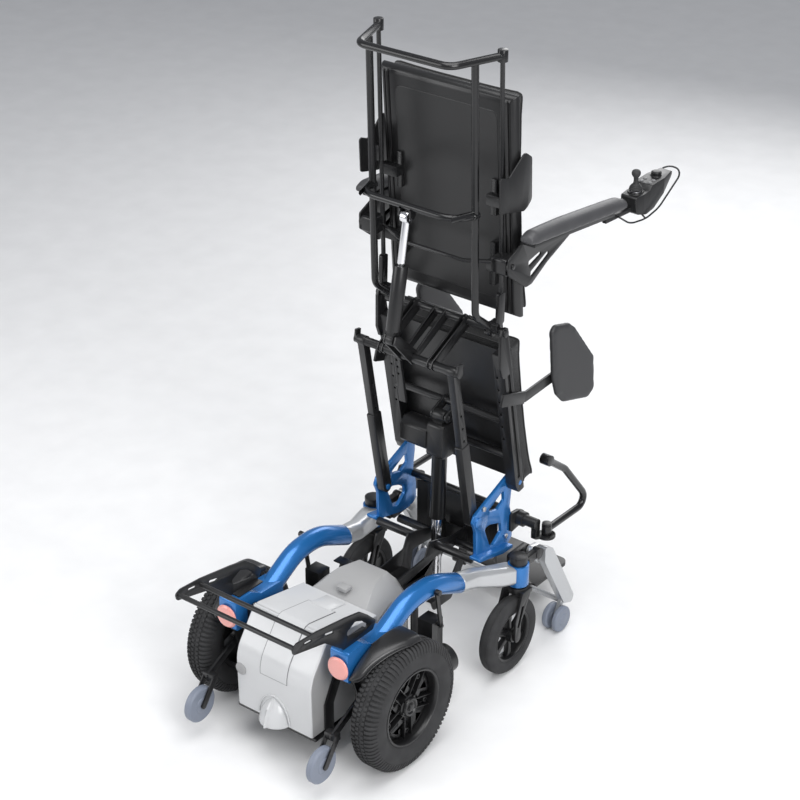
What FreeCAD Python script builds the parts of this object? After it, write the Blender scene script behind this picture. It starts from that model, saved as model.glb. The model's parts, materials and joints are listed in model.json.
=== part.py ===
import FreeCAD, Part
import math
import os

from FreeCAD import Vector

# A powered standing wheelchair, shown raised to standing.
# Millimetres. +Z is up, the user faces -Y and the user's right hand is towards -X.
# Working coordinates have y = 0 at the drive axle. export_parts() moves the origin to the
# middle of the footprint.
# Points written as pairs are (y, z) in the side view, unless a line says otherwise.

# Overall running gear
TRACK = 555.0
DRIVE_RADIUS = 178.0
DRIVE_WIDTH = 78.0
DRIVE_RIM_RADIUS = 104.0
CASTER_SPREAD = 500.0
CASTER_AXIS_Y = -536.0
CASTER_TRAIL = 42.0
CASTER_RADIUS = 112.0
CASTER_WIDTH = 44.0
CASTER_RIM_RADIUS = 74.0
ANTI_TIP_WHEEL = (240.0, 96.0)
ANTI_TIP_RADIUS = 50.0
ANTI_TIP_X = 206.0
SUPPORT_WHEEL_Y = -736.0
SUPPORT_RADIUS = 38.0
SUPPORT_X = 245.0

# Fits: radial clearances of a turning pin, a loose pivot and a free gap between moving bodies
RUNNING = 0.05
LOOSE = 0.4
GAP = 2.0

# Standing linkage: seat and rear links form a parallelogram
KNEE = (-598.0, 523.0)
SEAT_LENGTH = 486.0
SEAT_ANGLE = 79.7
LINK_FOOT = (-457.0, 452.0)
SEAT_HALF = 205.0
RAIL_WIDTH = 34.0
RAIL_REAR = 20.0
RAIL_FRONT = -14.0
LINK_X = 146.0
LINK_WIDTH = 22.0
LINK_DEPTH = 28.0
PIVOT_RADIUS = 10.0

# Chassis
FRAME_X = 186.0
TUBE_RADIUS = 28.0
BRACKET_X = 165.0
BRACKET_THICK = 10.0
BARREL_RADIUS = 29.0
BARREL_LOW = 256.0
BARREL_HIGH = 318.0
STEM_RADIUS = 14.0
CROSS_RADIUS = 12.0
FRONT_CROSS = (-540.0, 303.0)
REAR_CROSS = (-448.0, 338.0)
CENTRE_HALF = 34.0
CENTRE_PLATE = 5.0

# Battery housing
COVER_HALF = 125.0
COVER_WALL = 4.0
COVER_FLOOR = 101.0
COVER_JOIN_Y = -84.0
COVER_JOIN_Z = 338.0

# Backrest
BACK_HALF = SEAT_HALF + 3.0
BACK_THICK = 64.0
BACK_LOW = 1022.0
BACK_HIGH = 1628.0
BACK_LEAN = 4.1
BACK_REAR_LOW_Y = -560.0
CANE_X = SEAT_HALF - 44.0
CANE_RADIUS = 9.5
ROD_X = SEAT_HALF - 16.0
ROD_RADIUS = 6.0
GRIP_Z = 1739.0
GRIP_BAR_Y = -352.0

# Cushions
CUSHION_THICK = 62.0
CUSHION_HALF = SEAT_HALF - 3.0
CUSHION_START = -28.0
CUSHION_LENGTH = SEAT_LENGTH - 28.0
CUSHION_CROWN = 7.0

# Actuators
LIFT_FOOT = (-478.0, 150.0)
LIFT_HEAD = (-500.0, 705.0)
LIFT_X = -12.0
LIFT_TUBE_RADIUS = 21.0
LIFT_ROD_RADIUS = 15.0
RECLINE_FOOT = (-307.0, 1001.0)
RECLINE_HEAD = (-367.0, 1318.0)
RECLINE_BODY_RADIUS = 19.0
RECLINE_ROD_RADIUS = 10.0
RECLINE_BODY_LENGTH = 196.0

# Armrest, outboard of the backrest
ARM_X = SEAT_HALF + 29.0
ARM_PLATE = 5.0
ARM_HUB = (-487.0, 1205.0)
ARM_PAD_X = ARM_X + 28.0
ARM_PAD_WIDTH = 54.0
ARM_PAD_REAR = (-505.0, 1268.0)
ARM_PAD_FRONT = (-945.0, 1222.0)

parts = {}


# Side-view geometry

def add(p, q):
    return (p[0] + q[0], p[1] + q[1])


def unit(p, q):
    """Unit vector of the side view from p to q."""
    dy, dz = q[0] - p[0], q[1] - p[1]
    span = math.hypot(dy, dz)
    return dy / span, dz / span


def along(p, q, distance, offset=0.0):
    """Point on the line p to q, moved sideways by offset to the line's right."""
    uy, uz = unit(p, q)
    return (p[0] + uy * distance + uz * offset, p[1] + uz * distance - uy * offset)


SEAT_U = (math.cos(math.radians(SEAT_ANGLE)), math.sin(math.radians(SEAT_ANGLE)))
HIP = (KNEE[0] + SEAT_LENGTH * SEAT_U[0], KNEE[1] + SEAT_LENGTH * SEAT_U[1])
LINK_HEAD = (LINK_FOOT[0] + HIP[0] - KNEE[0], LINK_FOOT[1] + HIP[1] - KNEE[1])


def seat(u, n):
    """Point of the raised seat: u from the knee pivot to the hip, n out of its back."""
    return (KNEE[0] + u * SEAT_U[0] + n * SEAT_U[1], KNEE[1] + u * SEAT_U[1] - n * SEAT_U[0])


# Solids

def rounded(points, radius):
    """Closed wire through coplanar 3-D points, its corners rounded where they have room."""
    radii = radius if isinstance(radius, (list, tuple)) else [radius] * len(points)
    count = len(points)
    starts, mids, ends = [], [], []
    for i, here in enumerate(points):
        to_last = points[i - 1] - here
        to_next = points[(i + 1) % count] - here
        room = 0.49 * min(to_last.Length, to_next.Length)
        to_last.normalize()
        to_next.normalize()
        half = 0.5 * to_last.getAngle(to_next)
        if radii[i] <= 0 or half > 1.55:
            starts.append(here)
            mids.append(None)
            ends.append(here)
            continue
        setback = min(radii[i] / math.tan(half), room)
        bend = setback * math.tan(half)
        inward = to_last + to_next
        inward.normalize()
        starts.append(here + to_last * setback)
        mids.append(here + inward * (bend / math.sin(half) - bend))
        ends.append(here + to_next * setback)
    edges = []
    for i in range(count):
        if mids[i] is not None:
            edges.append(Part.Arc(starts[i], mids[i], ends[i]).toShape())
        following = starts[(i + 1) % count]
        if (following - ends[i]).Length > 1e-4:
            edges.append(Part.LineSegment(ends[i], following).toShape())
    return Part.Wire(edges)


def plate(points, radius, low_x, high_x, holes=()):
    """Plate cut to a side-view outline, from low_x to high_x, with rounded outlines cut out."""
    def blank(outline, corner, low, high):
        wire = rounded([Vector(low, y, z) for y, z in outline], corner)
        return Part.Face(wire).extrude(Vector(high - low, 0, 0))
    solid = blank(points, radius, low_x, high_x)
    for outline, corner in holes:
        solid = solid.cut(blank(outline, corner, low_x - 1, high_x + 1))
    return solid


def slab(points, radius, low_z, high_z):
    """Plate cut to a plan-view outline of (x, y) points."""
    wire = rounded([Vector(x, y, low_z) for x, y in points], radius)
    return Part.Face(wire).extrude(Vector(0, 0, high_z - low_z))


def box(low_x, high_x, low_y, high_y, low_z, high_z):
    size = (high_x - low_x, high_y - low_y, high_z - low_z)
    return Part.makeBox(*size, Vector(low_x, low_y, low_z))


def rod(p, q, radius):
    axis = q - p
    return Part.makeCylinder(radius, axis.Length, p, axis)


def pin(point, low_x, high_x, radius):
    """Round bar across the chair at a side-view point."""
    return rod(Vector(low_x, *point), Vector(high_x, *point), radius)


def post(x, y, low_z, high_z, radius):
    return rod(Vector(x, y, low_z), Vector(x, y, high_z), radius)


def strut(p, q, depth, low_x, high_x, end=None):
    """Flat or square bar between two side-view points, round ended by default."""
    radius = 0.499 * depth if end is None else end
    reach = radius if end is None else 0.0
    corners = [along(p, q, -reach, -depth / 2), along(p, q, -reach, depth / 2)]
    corners += [along(q, p, -reach, -depth / 2), along(q, p, -reach, depth / 2)]
    return plate(corners, radius, low_x, high_x)


def bent(points, bend, radius):
    """Round bar along straight runs joined by tangent arcs, or mitred where bend is 0."""
    if bend == 0:
        ring = Part.Edge(Part.Circle(points[0], points[1] - points[0], radius))
        path = Part.makePolygon(points)
        return path.makePipeShell([Part.Wire([ring])], True, False, 1)
    bends = bend if isinstance(bend, (list, tuple)) else [bend] * (len(points) - 2)
    edges = []
    start = points[0]
    for i in range(1, len(points) - 1):
        here = points[i]
        back, ahead = points[i - 1] - here, points[i + 1] - here
        back.normalize()
        ahead.normalize()
        half = 0.5 * back.getAngle(ahead)
        setback = bends[i - 1] / math.tan(half)
        inward = back + ahead
        inward.normalize()
        middle = here + inward * (bends[i - 1] / math.sin(half) - bends[i - 1])
        edges.append(Part.LineSegment(start, here + back * setback).toShape())
        edges.append(Part.Arc(here + back * setback, middle, here + ahead * setback).toShape())
        start = here + ahead * setback
    edges.append(Part.LineSegment(start, points[-1]).toShape())
    ring = Part.Edge(Part.Circle(points[0], points[1] - points[0], radius))
    return Part.Wire(edges).makePipeShell([Part.Wire([ring])], True, False)


def turned(profile, centre):
    """Solid of revolution about the axle through a side-view centre, from (x, radius) points."""
    wire = Part.makePolygon([Vector(x, 0, r) for x, r in profile + profile[:1]])
    solid = Part.Face(wire).revolve(Vector(0, 0, 0), Vector(1, 0, 0), 360)
    solid.translate(Vector(0, *centre))
    return solid


def tyre(x, width, outer, inner, centre):
    """Tyre of revolution: bead seat, bulging walls, shoulders and a flat tread."""
    half, wall = width / 2, outer - inner
    side = [(0.74, 0.0), (0.98, 0.24), (1.0, 0.52), (0.88, 0.82), (0.58, 1.0)]
    left = [(x - half * out, inner + wall * up) for out, up in side]
    right = [(x + half * out, inner + wall * up) for out, up in reversed(side)]
    return turned(left + right, centre)


def fuse(*solids):
    first, rest = solids[0], list(solids[1:])
    return first.fuse(rest).removeSplitter() if rest else first


def mirrored(shape):
    return shape.mirror(Vector(0, 0, 0), Vector(1, 0, 0))


def both(shape):
    """A left piece and its right twin, kept as separate solids."""
    return Part.makeCompound([shape, mirrored(shape)])


def hole(solid, point, radius, low_x, high_x):
    return solid.cut(pin(point, low_x - 1, high_x + 1, radius))


# Chassis

AXLE = (0.0, DRIVE_RADIUS)
WHEEL_X = TRACK / 2
CASTER_X = CASTER_SPREAD / 2
BOX_REAR_Y = 140.0
BOX_TOP = 376.0
BOX_LOW = 286.0
BOX_FRONT_Y = -45.0
ARM_JOIN_Y = -338.0
REFLECTOR_RADIUS = 33.0
REFLECTOR_Z = 326.0


def side_frame():
    path = [
        Vector(FRAME_X, -10, 320), Vector(FRAME_X + 3, -128, 384),
        Vector(FRAME_X + 6, -225, 386), Vector(FRAME_X + 6, -350, 328),
    ]
    tube = bent(path, [150, 190], TUBE_RADIUS)
    tube = tube.cut(box(0, 300, -450, ARM_JOIN_Y, 200, 450))
    low, high = FRAME_X - TUBE_RADIUS, FRAME_X + TUBE_RADIUS
    outline = [
        (BOX_REAR_Y, BOX_TOP), (BOX_REAR_Y, BOX_LOW), (BOX_REAR_Y - 42, BOX_LOW), (62, 302),
        (BOX_FRONT_Y, 298), (BOX_FRONT_Y, 352), (40, 354), (78, BOX_TOP),
    ]
    return fuse(tube, plate(outline, 9, low, high))


def arm_section(x, y, z, width, height, corner):
    """Box section with broken corners, seen along the chair."""
    half_w, half_h = width / 2, height / 2
    points = []
    for right, up in ((1, 1), (-1, 1), (-1, -1), (1, -1)):
        ends = [(right * half_w, up * (half_h - corner)), (right * (half_w - corner), up * half_h)]
        points += ends if right == up else ends[::-1]
    ring = [Vector(x + px, y, z + pz) for px, pz in points]
    return Part.makePolygon(ring + ring[:1])


def front_arm():
    """Swept-out casting from the side tube to the caster head."""
    sections = [
        arm_section(FRAME_X + 6, ARM_JOIN_Y, 333, 54, 55, 16),
        arm_section(FRAME_X + 12, -395, 320, 52, 56, 12),
        arm_section(CASTER_X - 24, -470, 301, 54, 60, 9),
        arm_section(CASTER_X - 3, CASTER_AXIS_Y - 4, 287, 58, 58, 9),
    ]
    arm = Part.makeLoft(sections, True, True)
    return arm.cut(post(CASTER_X, CASTER_AXIS_Y, 200, 400, BARREL_RADIUS))


def caster_head():
    barrel = post(CASTER_X, CASTER_AXIS_Y, BARREL_LOW, BARREL_HIGH, BARREL_RADIUS)
    return barrel.cut(post(CASTER_X, CASTER_AXIS_Y, 200, 400, STEM_RADIUS + RUNNING))


BRACKET_LOW = BRACKET_X - BRACKET_THICK / 2
BRACKET_HIGH = BRACKET_X + BRACKET_THICK / 2
KNEE_PIN = 7.0
KNEE_EYE = 12.5
FOOT_PIN = 8.0
RAIL_IN = SEAT_HALF - RAIL_WIDTH
KNUCKLE_IN = BRACKET_HIGH + GAP
LINK_IN = LINK_X - LINK_WIDTH / 2
LINK_OUT = LINK_X + LINK_WIDTH / 2


def knee_bracket():
    """Triangulated upright plate with its two pivot bosses and a flange on the arm."""
    outline = [
        add(LINK_FOOT, (20, 4)), add(LINK_FOOT, (12, 24)), add(KNEE, (14, 10)),
        add(KNEE, (3, 13)), add(KNEE, (-11, 8)), add(KNEE, (-12, -30)), (-602, 436),
        (-616, 385), (-616, 335), (-600, 322), (-500, 330), (-452, 346),
        add(LINK_FOOT, (8, -26)),
    ]
    upper = [(-572, 500), (-576, 466), (-548, 450), (-497, 463)]
    lower = [(-512, 420), (-562, 402), (-566, 372), (-532, 346), (-514, 350), (-486, 420)]
    body = plate(outline, 10, BRACKET_LOW, BRACKET_HIGH, [(upper, 6), (lower, 8)])
    flange = [(-436, 355), (-436, 345), (-500, 331), (-545, 320), (-590, 318), (-590, 328)]
    foot = plate(flange, 3, BRACKET_LOW, FRAME_X + 6)
    link_boss = pin(LINK_FOOT, BRACKET_LOW, BRACKET_HIGH + 4, 15)
    knee_axle = pin(KNEE, BRACKET_HIGH, SEAT_HALF, KNEE_PIN)
    link_axle = pin(LINK_FOOT, LINK_IN - 4, BRACKET_LOW, FOOT_PIN)
    solid = fuse(body, foot, link_boss, knee_axle, link_axle)
    return solid.cut(front_arm())


LEG_PIVOT = (-635.0, 300.0)
LEG_IN = 234.0
LEG_OUT = 256.0
KNEE_HUB_Y = -668.0
KNEE_HUB_LOW = 338.0
KNEE_HUB_HIGH = 380.0
KNEE_HUB_X = 248.0


LEG_EAR = (214.0, 230.0)


def leg_pivot():
    """Lug on the caster head with the leg rest's pivot pin and its round outer barrel."""
    reach = CASTER_AXIS_Y - BARREL_RADIUS
    high_x = LEG_EAR[0] - GAP
    lug = plate([(reach + 8, 314), (reach + 8, 276), (LEG_PIVOT[0], 284),
                 (LEG_PIVOT[0] - 15, 300), (LEG_PIVOT[0], 316)], 8, high_x - 16, high_x)
    root = box(high_x - 10, CASTER_X + 10, reach - 12, reach + 14, 278, 312)
    root = root.cut(post(CASTER_X, CASTER_AXIS_Y, 200, 400, BARREL_RADIUS))
    web = box(LEG_EAR[1] + GAP, CASTER_X, LEG_PIVOT[0] + 4, reach - 4, 288, 312)
    barrel = pin(LEG_PIVOT, LEG_EAR[1] + GAP, LEG_OUT - 4, 16)
    solid = fuse(lug, root, web, pin(LEG_PIVOT, high_x, LEG_EAR[1] + GAP, 9), barrel)
    return solid.cut(front_arm())


def cross_members():
    """Cross tubes, calf bar, leg pivots and knee bar posts, all welded to the chassis."""
    inner = CENTRE_HALF + CENTRE_PLATE
    pieces = []
    for point in (FRONT_CROSS, REAR_CROSS):
        pieces.append(both(pin(point, inner, BRACKET_LOW, CROSS_RADIUS)))
    pieces.append(pin(CALF_BAR, -BRACKET_LOW, BRACKET_LOW, 10))
    pieces.append(both(leg_pivot()))
    pieces.append(both(knee_mount()))
    return Part.makeCompound(pieces)


CALF_BAR = (-603.0, 420.0)
CALF_HALF = 138.0


KNEE_ARM = (-640.0, 384.0)


def knee_mount():
    """Round outrigger with its clamp collar, carrying the post on which the knee bar swings."""
    lug = plate([(-600, 412), (-600, 352), (-640, 358), (-664, 374), (-664, 396),
                 (-640, 408)], 10, BRACKET_HIGH - 4, BRACKET_HIGH + 6)
    lug = lug.cut(knee_bracket())
    arm_end = KNEE_HUB_X - 12
    collar = pin(KNEE_ARM, BRACKET_HIGH + 6, BRACKET_HIGH + 26, 21)
    arm = pin(KNEE_ARM, BRACKET_HIGH + 26, arm_end, 15)
    riser = box(arm_end - 16, arm_end, -654, -634, KNEE_HUB_LOW, KNEE_ARM[1])
    shelf = slab([(arm_end - 16, -634), (arm_end - 16, -660), (KNEE_HUB_X - 16, KNEE_HUB_Y - 16),
                  (KNEE_HUB_X + 16, KNEE_HUB_Y), (arm_end, -634)], 4,
                 KNEE_HUB_LOW, KNEE_HUB_LOW + 7)
    flange = post(KNEE_HUB_X, KNEE_HUB_Y, KNEE_HUB_LOW, KNEE_HUB_LOW + 7, 25)
    spindle = post(KNEE_HUB_X, KNEE_HUB_Y, KNEE_HUB_LOW, KNEE_HUB_HIGH, 8)
    cap = post(KNEE_HUB_X, KNEE_HUB_Y, KNEE_HUB_HIGH - 5, KNEE_HUB_HIGH, 13)
    return fuse(lug, collar, arm, shelf, riser, flange, spindle, cap)


def calf_panel():
    """Curved panel behind the calves, hung from the calf bar."""
    y, top = CALF_BAR
    sheet = [(-CALF_HALF, y + 8), (-CALF_HALF + 30, y - 4), (CALF_HALF - 30, y - 4)]
    sheet += [(CALF_HALF, y + 8), (CALF_HALF, y + 13), (CALF_HALF - 30, y + 2)]
    sheet += [(-CALF_HALF + 30, y + 2), (-CALF_HALF, y + 13)]
    return slab(sheet, 2, 246, top - 10.2)


CENTRE_OUT = CENTRE_HALF + CENTRE_PLATE


def centre_bracket():
    """Open folded bracket that carries the foot of the lift actuator."""
    outline = [
        (-590, 330), (-590, 240), (-520, 128), (-440, 128), (-402, 230), (-400, 262),
        (-276, 274), (-276, 306), (-400, 318), (-420, 360), (-520, 330),
    ]
    cheek = plate(outline, 10, CENTRE_HALF, CENTRE_OUT, [([
        (-560, 290), (-555, 245), (-510, 180), (-450, 180), (-430, 240), (-440, 300)], 10)])
    tie = box(-CENTRE_OUT, CENTRE_OUT, -590, -585, 256, 316)
    shelf = plate([(-276, 274), (-276, 279), (-392, 268), (-392, 263)], 1,
                  -CENTRE_OUT - 22, CENTRE_OUT + 22)
    lip = box(-CENTRE_OUT - 22, CENTRE_OUT + 22, -276, -272, 274, 306)
    hinge = pin(LIFT_FOOT, -CENTRE_OUT, CENTRE_OUT, 6)
    return fuse(cheek, mirrored(cheek), tie, shelf, lip, hinge)


TRAY_TOP = COVER_FLOOR - 3.0
TRAY_LOW = 88.0
HANGER_X = COVER_HALF + 6.0


def battery_tray():
    """Tray with turned-up ends and bent hangers that reach the side boxes."""
    pan = box(-HANGER_X, HANGER_X, -300, 172, TRAY_LOW, TRAY_LOW + 4)
    rim = box(-HANGER_X, HANGER_X, 168, 172, TRAY_LOW, TRAY_TOP)
    hanger = plate([(132, 88), (132, 180), (96, 250), (96, 340), (62, 340), (62, 240),
                    (98, 170), (98, 88)], 9, HANGER_X - 4, HANGER_X)
    tab = box(HANGER_X - 4, FRAME_X - TUBE_RADIUS, 62, 96, 306, 340)
    front = plate([(-292, 88), (-292, 300), (-262, 300), (-262, 88)], 4, 96, 100)
    tie = box(96, FRAME_X - 18, -292, -262, 296, 300)
    side = fuse(hanger, tab)
    nose = fuse(front, tie)
    return fuse(pan, rim, side, mirrored(side), nose, mirrored(nose))


def battery():
    return box(3, COVER_HALF - COVER_WALL - 4, -68, 162, TRAY_LOW + 4, 285)


def rear_cover():
    """Rear battery cover: a sloping, shouldered hood, open below and in front."""
    outline = [
        (COVER_JOIN_Y, COVER_FLOOR), (178, COVER_FLOOR), (181, 268), (112, 364),
        (96, 372), (COVER_JOIN_Y, COVER_JOIN_Z),
    ]
    corners = [0, 0, 26, 14, 14, 0]
    outer = plate(outline, corners, -COVER_HALF, COVER_HALF)
    wall = COVER_WALL
    hollow = [
        (COVER_JOIN_Y - 1, COVER_FLOOR - 1), (178 - wall, COVER_FLOOR - 1),
        (181 - wall, 268 - wall / 2), (110 - wall / 2, 364 - wall * 1.4),
        (96, 372 - wall), (COVER_JOIN_Y - 1, COVER_JOIN_Z - wall),
    ]
    inner = plate(hollow, [0, 0, 22, 12, 12, 0], -COVER_HALF + wall, COVER_HALF - wall)
    shell = outer.cut(inner)
    # Hooded grip at the foot of the rear face.
    cone = Part.makeCone(46, 14, 74, Vector(0, 168, COVER_FLOOR), Vector(0, 0.12, 1))
    grip = cone.common(box(-60, 60, 176, 260, COVER_FLOOR, 200))
    scoop = Part.makeCone(40, 10, 68, Vector(0, 166, COVER_FLOOR - 1), Vector(0, 0.12, 1))
    return fuse(shell, grip.cut(scoop))


def front_cover():
    """Faceted cover over the power electronics, between the side tubes."""
    def section(y, half, top, shoulder, low):
        points = [(-half, low), (half, low), (half, top - shoulder)]
        points += [(half - shoulder, top), (-half + shoulder, top), (-half, top - shoulder)]
        return Part.makePolygon([Vector(x, y, z) for x, z in points + points[:1]])
    rows = [
        (COVER_JOIN_Y - 1, 118, COVER_JOIN_Z - 2, 30), (-156, 108, 372, 46),
        (-226, 96, 368, 50), (-268, 84, 322, 40),
    ]
    outer = Part.makeLoft([section(*row, TRAY_LOW + 4) for row in rows], True, True)
    wall = COVER_WALL
    inside = [(y, half - wall, top - wall, drop) for y, half, top, drop in rows]
    inside[0] = (COVER_JOIN_Y, *inside[0][1:])
    inside[-1] = (rows[-1][0] + wall, *inside[-1][1:])
    inner = Part.makeLoft([section(*row, TRAY_LOW) for row in inside], True, True)
    latch = box(-16, 16, -118, -92, 356, 376).cut(outer)
    latch = latch.common(box(-16, 16, -118, -92, 340, 366))
    return fuse(outer.cut(inner), latch)


GEAR_RADIUS = 48.0
SHAFT_RADIUS = 12.0
MOTOR_AXIS = (FRAME_X + 4.0, 120.0)
MOTOR_RADIUS = 42.0
MOTOR_FRONT = -308.0
MOTOR_PLATE_X = 198.0
TYRE_IN = WHEEL_X - DRIVE_WIDTH / 2


def drive_motor():
    """Gear motor: worm housing on the axle, motor forward, plate up to the side box."""
    x, z = MOTOR_AXIS
    gearbox = pin(AXLE, x - 30, TYRE_IN - 8, GEAR_RADIUS)
    shaft = pin(AXLE, TYRE_IN - 8, WHEEL_X + 26, SHAFT_RADIUS)
    can = rod(Vector(x, -20, z), Vector(x, MOTOR_FRONT + 12, z), MOTOR_RADIUS)
    nose = Part.makeCone(MOTOR_RADIUS, MOTOR_RADIUS - 14, 12,
                         Vector(x, MOTOR_FRONT + 12, z), Vector(0, -1, 0))
    hanger = plate([(-70, 297), (112, 285), (96, 235), (90, 190), (30, 170), (-60, 150),
                    (-96, 166)], 8, MOTOR_PLATE_X, MOTOR_PLATE_X + 8)
    clutch = box(x - 22, x + 26, -246, -200, z + 36, LEVER_PIVOT[1] + 14)
    spindle = pin(LEVER_PIVOT, x + 26, LEVER_X + 8, 5)
    return fuse(gearbox, shaft, can, nose, hanger, clutch, spindle)


LEVER_PIVOT = (-226.0, 272.0)
LEVER_X = 223.0


def freewheel_lever():
    """Flat lever outside the side tube that releases the motor brake."""
    top = (-206.0, 386.0)
    blade = strut(LEVER_PIVOT, top, 13, LEVER_X, LEVER_X + 5)
    knob = pin(top, LEVER_X, LEVER_X + 14, 8)
    lever = fuse(blade, knob)
    return hole(lever, LEVER_PIVOT, 5 + RUNNING, LEVER_X, LEVER_X + 14)


BOLT_FLATS = 13.0
BOLT_HEAD = 5.5


def hex_head(point, axis, flats=BOLT_FLATS, head=BOLT_HEAD):
    """Hexagon bolt head standing on a face at a point, along its outward axis."""
    ring = [Vector(flats / math.sqrt(3), 0, 0)] * 6
    corners = [FreeCAD.Rotation(Vector(0, 0, 1), 60 * i).multVec(v) for i, v in enumerate(ring)]
    prism = Part.Face(Part.makePolygon(corners + corners[:1])).extrude(Vector(0, 0, head))
    prism.Placement = FreeCAD.Placement(point, FreeCAD.Rotation(Vector(0, 0, 1), axis))
    return prism


def chassis_bolts():
    """Bolt heads of the knee brackets and of the motor plates."""
    outward = Vector(1, 0, 0)
    heads = []
    for y, z in ((-20, 262), (58, 262)):
        heads.append(hex_head(Vector(MOTOR_PLATE_X + 8, y, z), outward))
    for y, z in ((-480, 484), (-583, 352)):
        heads.append(hex_head(Vector(BRACKET_HIGH, y, z), outward))
    return Part.makeCompound(heads)


FENDER_IN = DRIVE_RADIUS + 12.0
FENDER_X = (220.0, 298.0)


def fender():
    """Mudguard arc over the drive wheel, with a side lip and its stay."""
    first, last = 41.0, 106.0

    def sector(r_in, r_out, low, high):
        ring = pin(AXLE, low, high, r_out).cut(pin(AXLE, low - 1, high + 1, r_in))
        reach = 2 * r_out
        y, z = AXLE
        wedge = [(y, z)]
        for step in range(4):
            angle = math.radians(first + (last - first) * step / 3)
            wedge.append((y + reach * math.cos(angle), z + reach * math.sin(angle)))
        return ring.common(plate(wedge, 0, low - 1, high + 1))
    low, high = FENDER_X
    skin = sector(FENDER_IN, FENDER_IN + 4, low, high)
    lip = sector(FENDER_IN - 12, FENDER_IN + 4, low, low + 4)
    outer = sector(FENDER_IN - 7, FENDER_IN + 4, high - 4, high)
    plan = [(low, 170), (low + 28, 170), (low + 34, 108), (low + 62, 34), (high, -4),
            (high, -80), (low, -80)]
    arc = fuse(skin, lip, outer).common(slab(plan, [0, 26, 30, 30, 30, 0, 0], 250, 420))
    stay = box(FRAME_X + TUBE_RADIUS, low + 4, 16, 56, 334, 340)
    leg = box(low, low + 4, 16, 56, 334, FENDER_IN + DRIVE_RADIUS - 8)
    return fuse(arc, stay, leg)


def reflector():
    disc = rod(Vector(FRAME_X, BOX_REAR_Y, REFLECTOR_Z),
               Vector(FRAME_X, BOX_REAR_Y + 5, REFLECTOR_Z), REFLECTOR_RADIUS - 4)
    dome = Part.makeCone(REFLECTOR_RADIUS, REFLECTOR_RADIUS - 5, 5,
                         Vector(FRAME_X, BOX_REAR_Y + 5, REFLECTOR_Z), Vector(0, 1, 0))
    return fuse(disc, dome)


RACK_X = 188.0
RACK_PLATE = 5.0
RACK_REAR = (308.0, 475.0)
RACK_INNER = (230.0, 466.0)
RACK_BAR = 6.5


def rack_plate():
    """Cut side plate of the luggage rack, with a teardrop window and two slots."""
    outline = [
        add(RACK_REAR, (12, 6)), add(RACK_REAR, (8, -13)), (200, 434), (138, 384),
        (128, BOX_TOP), (14, BOX_TOP), (2, 398), (34, 430), (64, 454), (120, 466),
        add(RACK_INNER, (0, 18)), add(RACK_REAR, (-6, 14)),
    ]
    tear = [(118, 420), (112, 406), (40, 392), (34, 402), (58, 424), (84, 436)]
    slot_a = [(276, 477), (276, 470), (248, 466), (248, 473)]
    slot_b = [(200, 462), (200, 454), (166, 446), (166, 454)]
    windows = [(tear, 8), (slot_a, 3), (slot_b, 3)]
    solid = plate(outline, 8, RACK_X, RACK_X + RACK_PLATE, windows)
    foot = box(RACK_X - 22, RACK_X + RACK_PLATE, 24, 116, BOX_TOP, BOX_TOP + 4)
    return fuse(solid, foot)


def luggage_rack():
    left = rack_plate()
    bars = [pin(point, -RACK_X, RACK_X, RACK_BAR) for point in (RACK_REAR, RACK_INNER)]
    return fuse(left, mirrored(left), *bars)


FORK_GAP = 14.0


def anti_tip_arm():
    """Bent arm from the motor plate down to the forked anti-tip wheel."""
    x = ANTI_TIP_X
    start, knee = (72.0, 222.0), (196.0, 160.0)
    bar = strut(start, knee, 22, MOTOR_PLATE_X + 8, x + 7)
    yoke = box(x - FORK_GAP - 4, x + FORK_GAP + 4, 184, 204, 150, 170)
    yoke = yoke.fuse(pin(start, MOTOR_PLATE_X + 8, x + 7, 9))
    ear = strut((194, 160), ANTI_TIP_WHEEL, 18, x + FORK_GAP, x + FORK_GAP + 4)
    other = strut((194, 160), ANTI_TIP_WHEEL, 18, x - FORK_GAP - 4, x - FORK_GAP)
    axle = pin(ANTI_TIP_WHEEL, x - FORK_GAP, x + FORK_GAP, 5)
    solid = fuse(bar, yoke, ear, other, axle)
    return solid.cut(pin(ANTI_TIP_WHEEL, x - FORK_GAP + 0.5, x + FORK_GAP - 0.5,
                         ANTI_TIP_RADIUS + 5).cut(axle))


# Wheels

def drive_tyre():
    return tyre(WHEEL_X, DRIVE_WIDTH, DRIVE_RADIUS, DRIVE_RIM_RADIUS, AXLE)


SPOKE_PAIRS = 5


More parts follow.
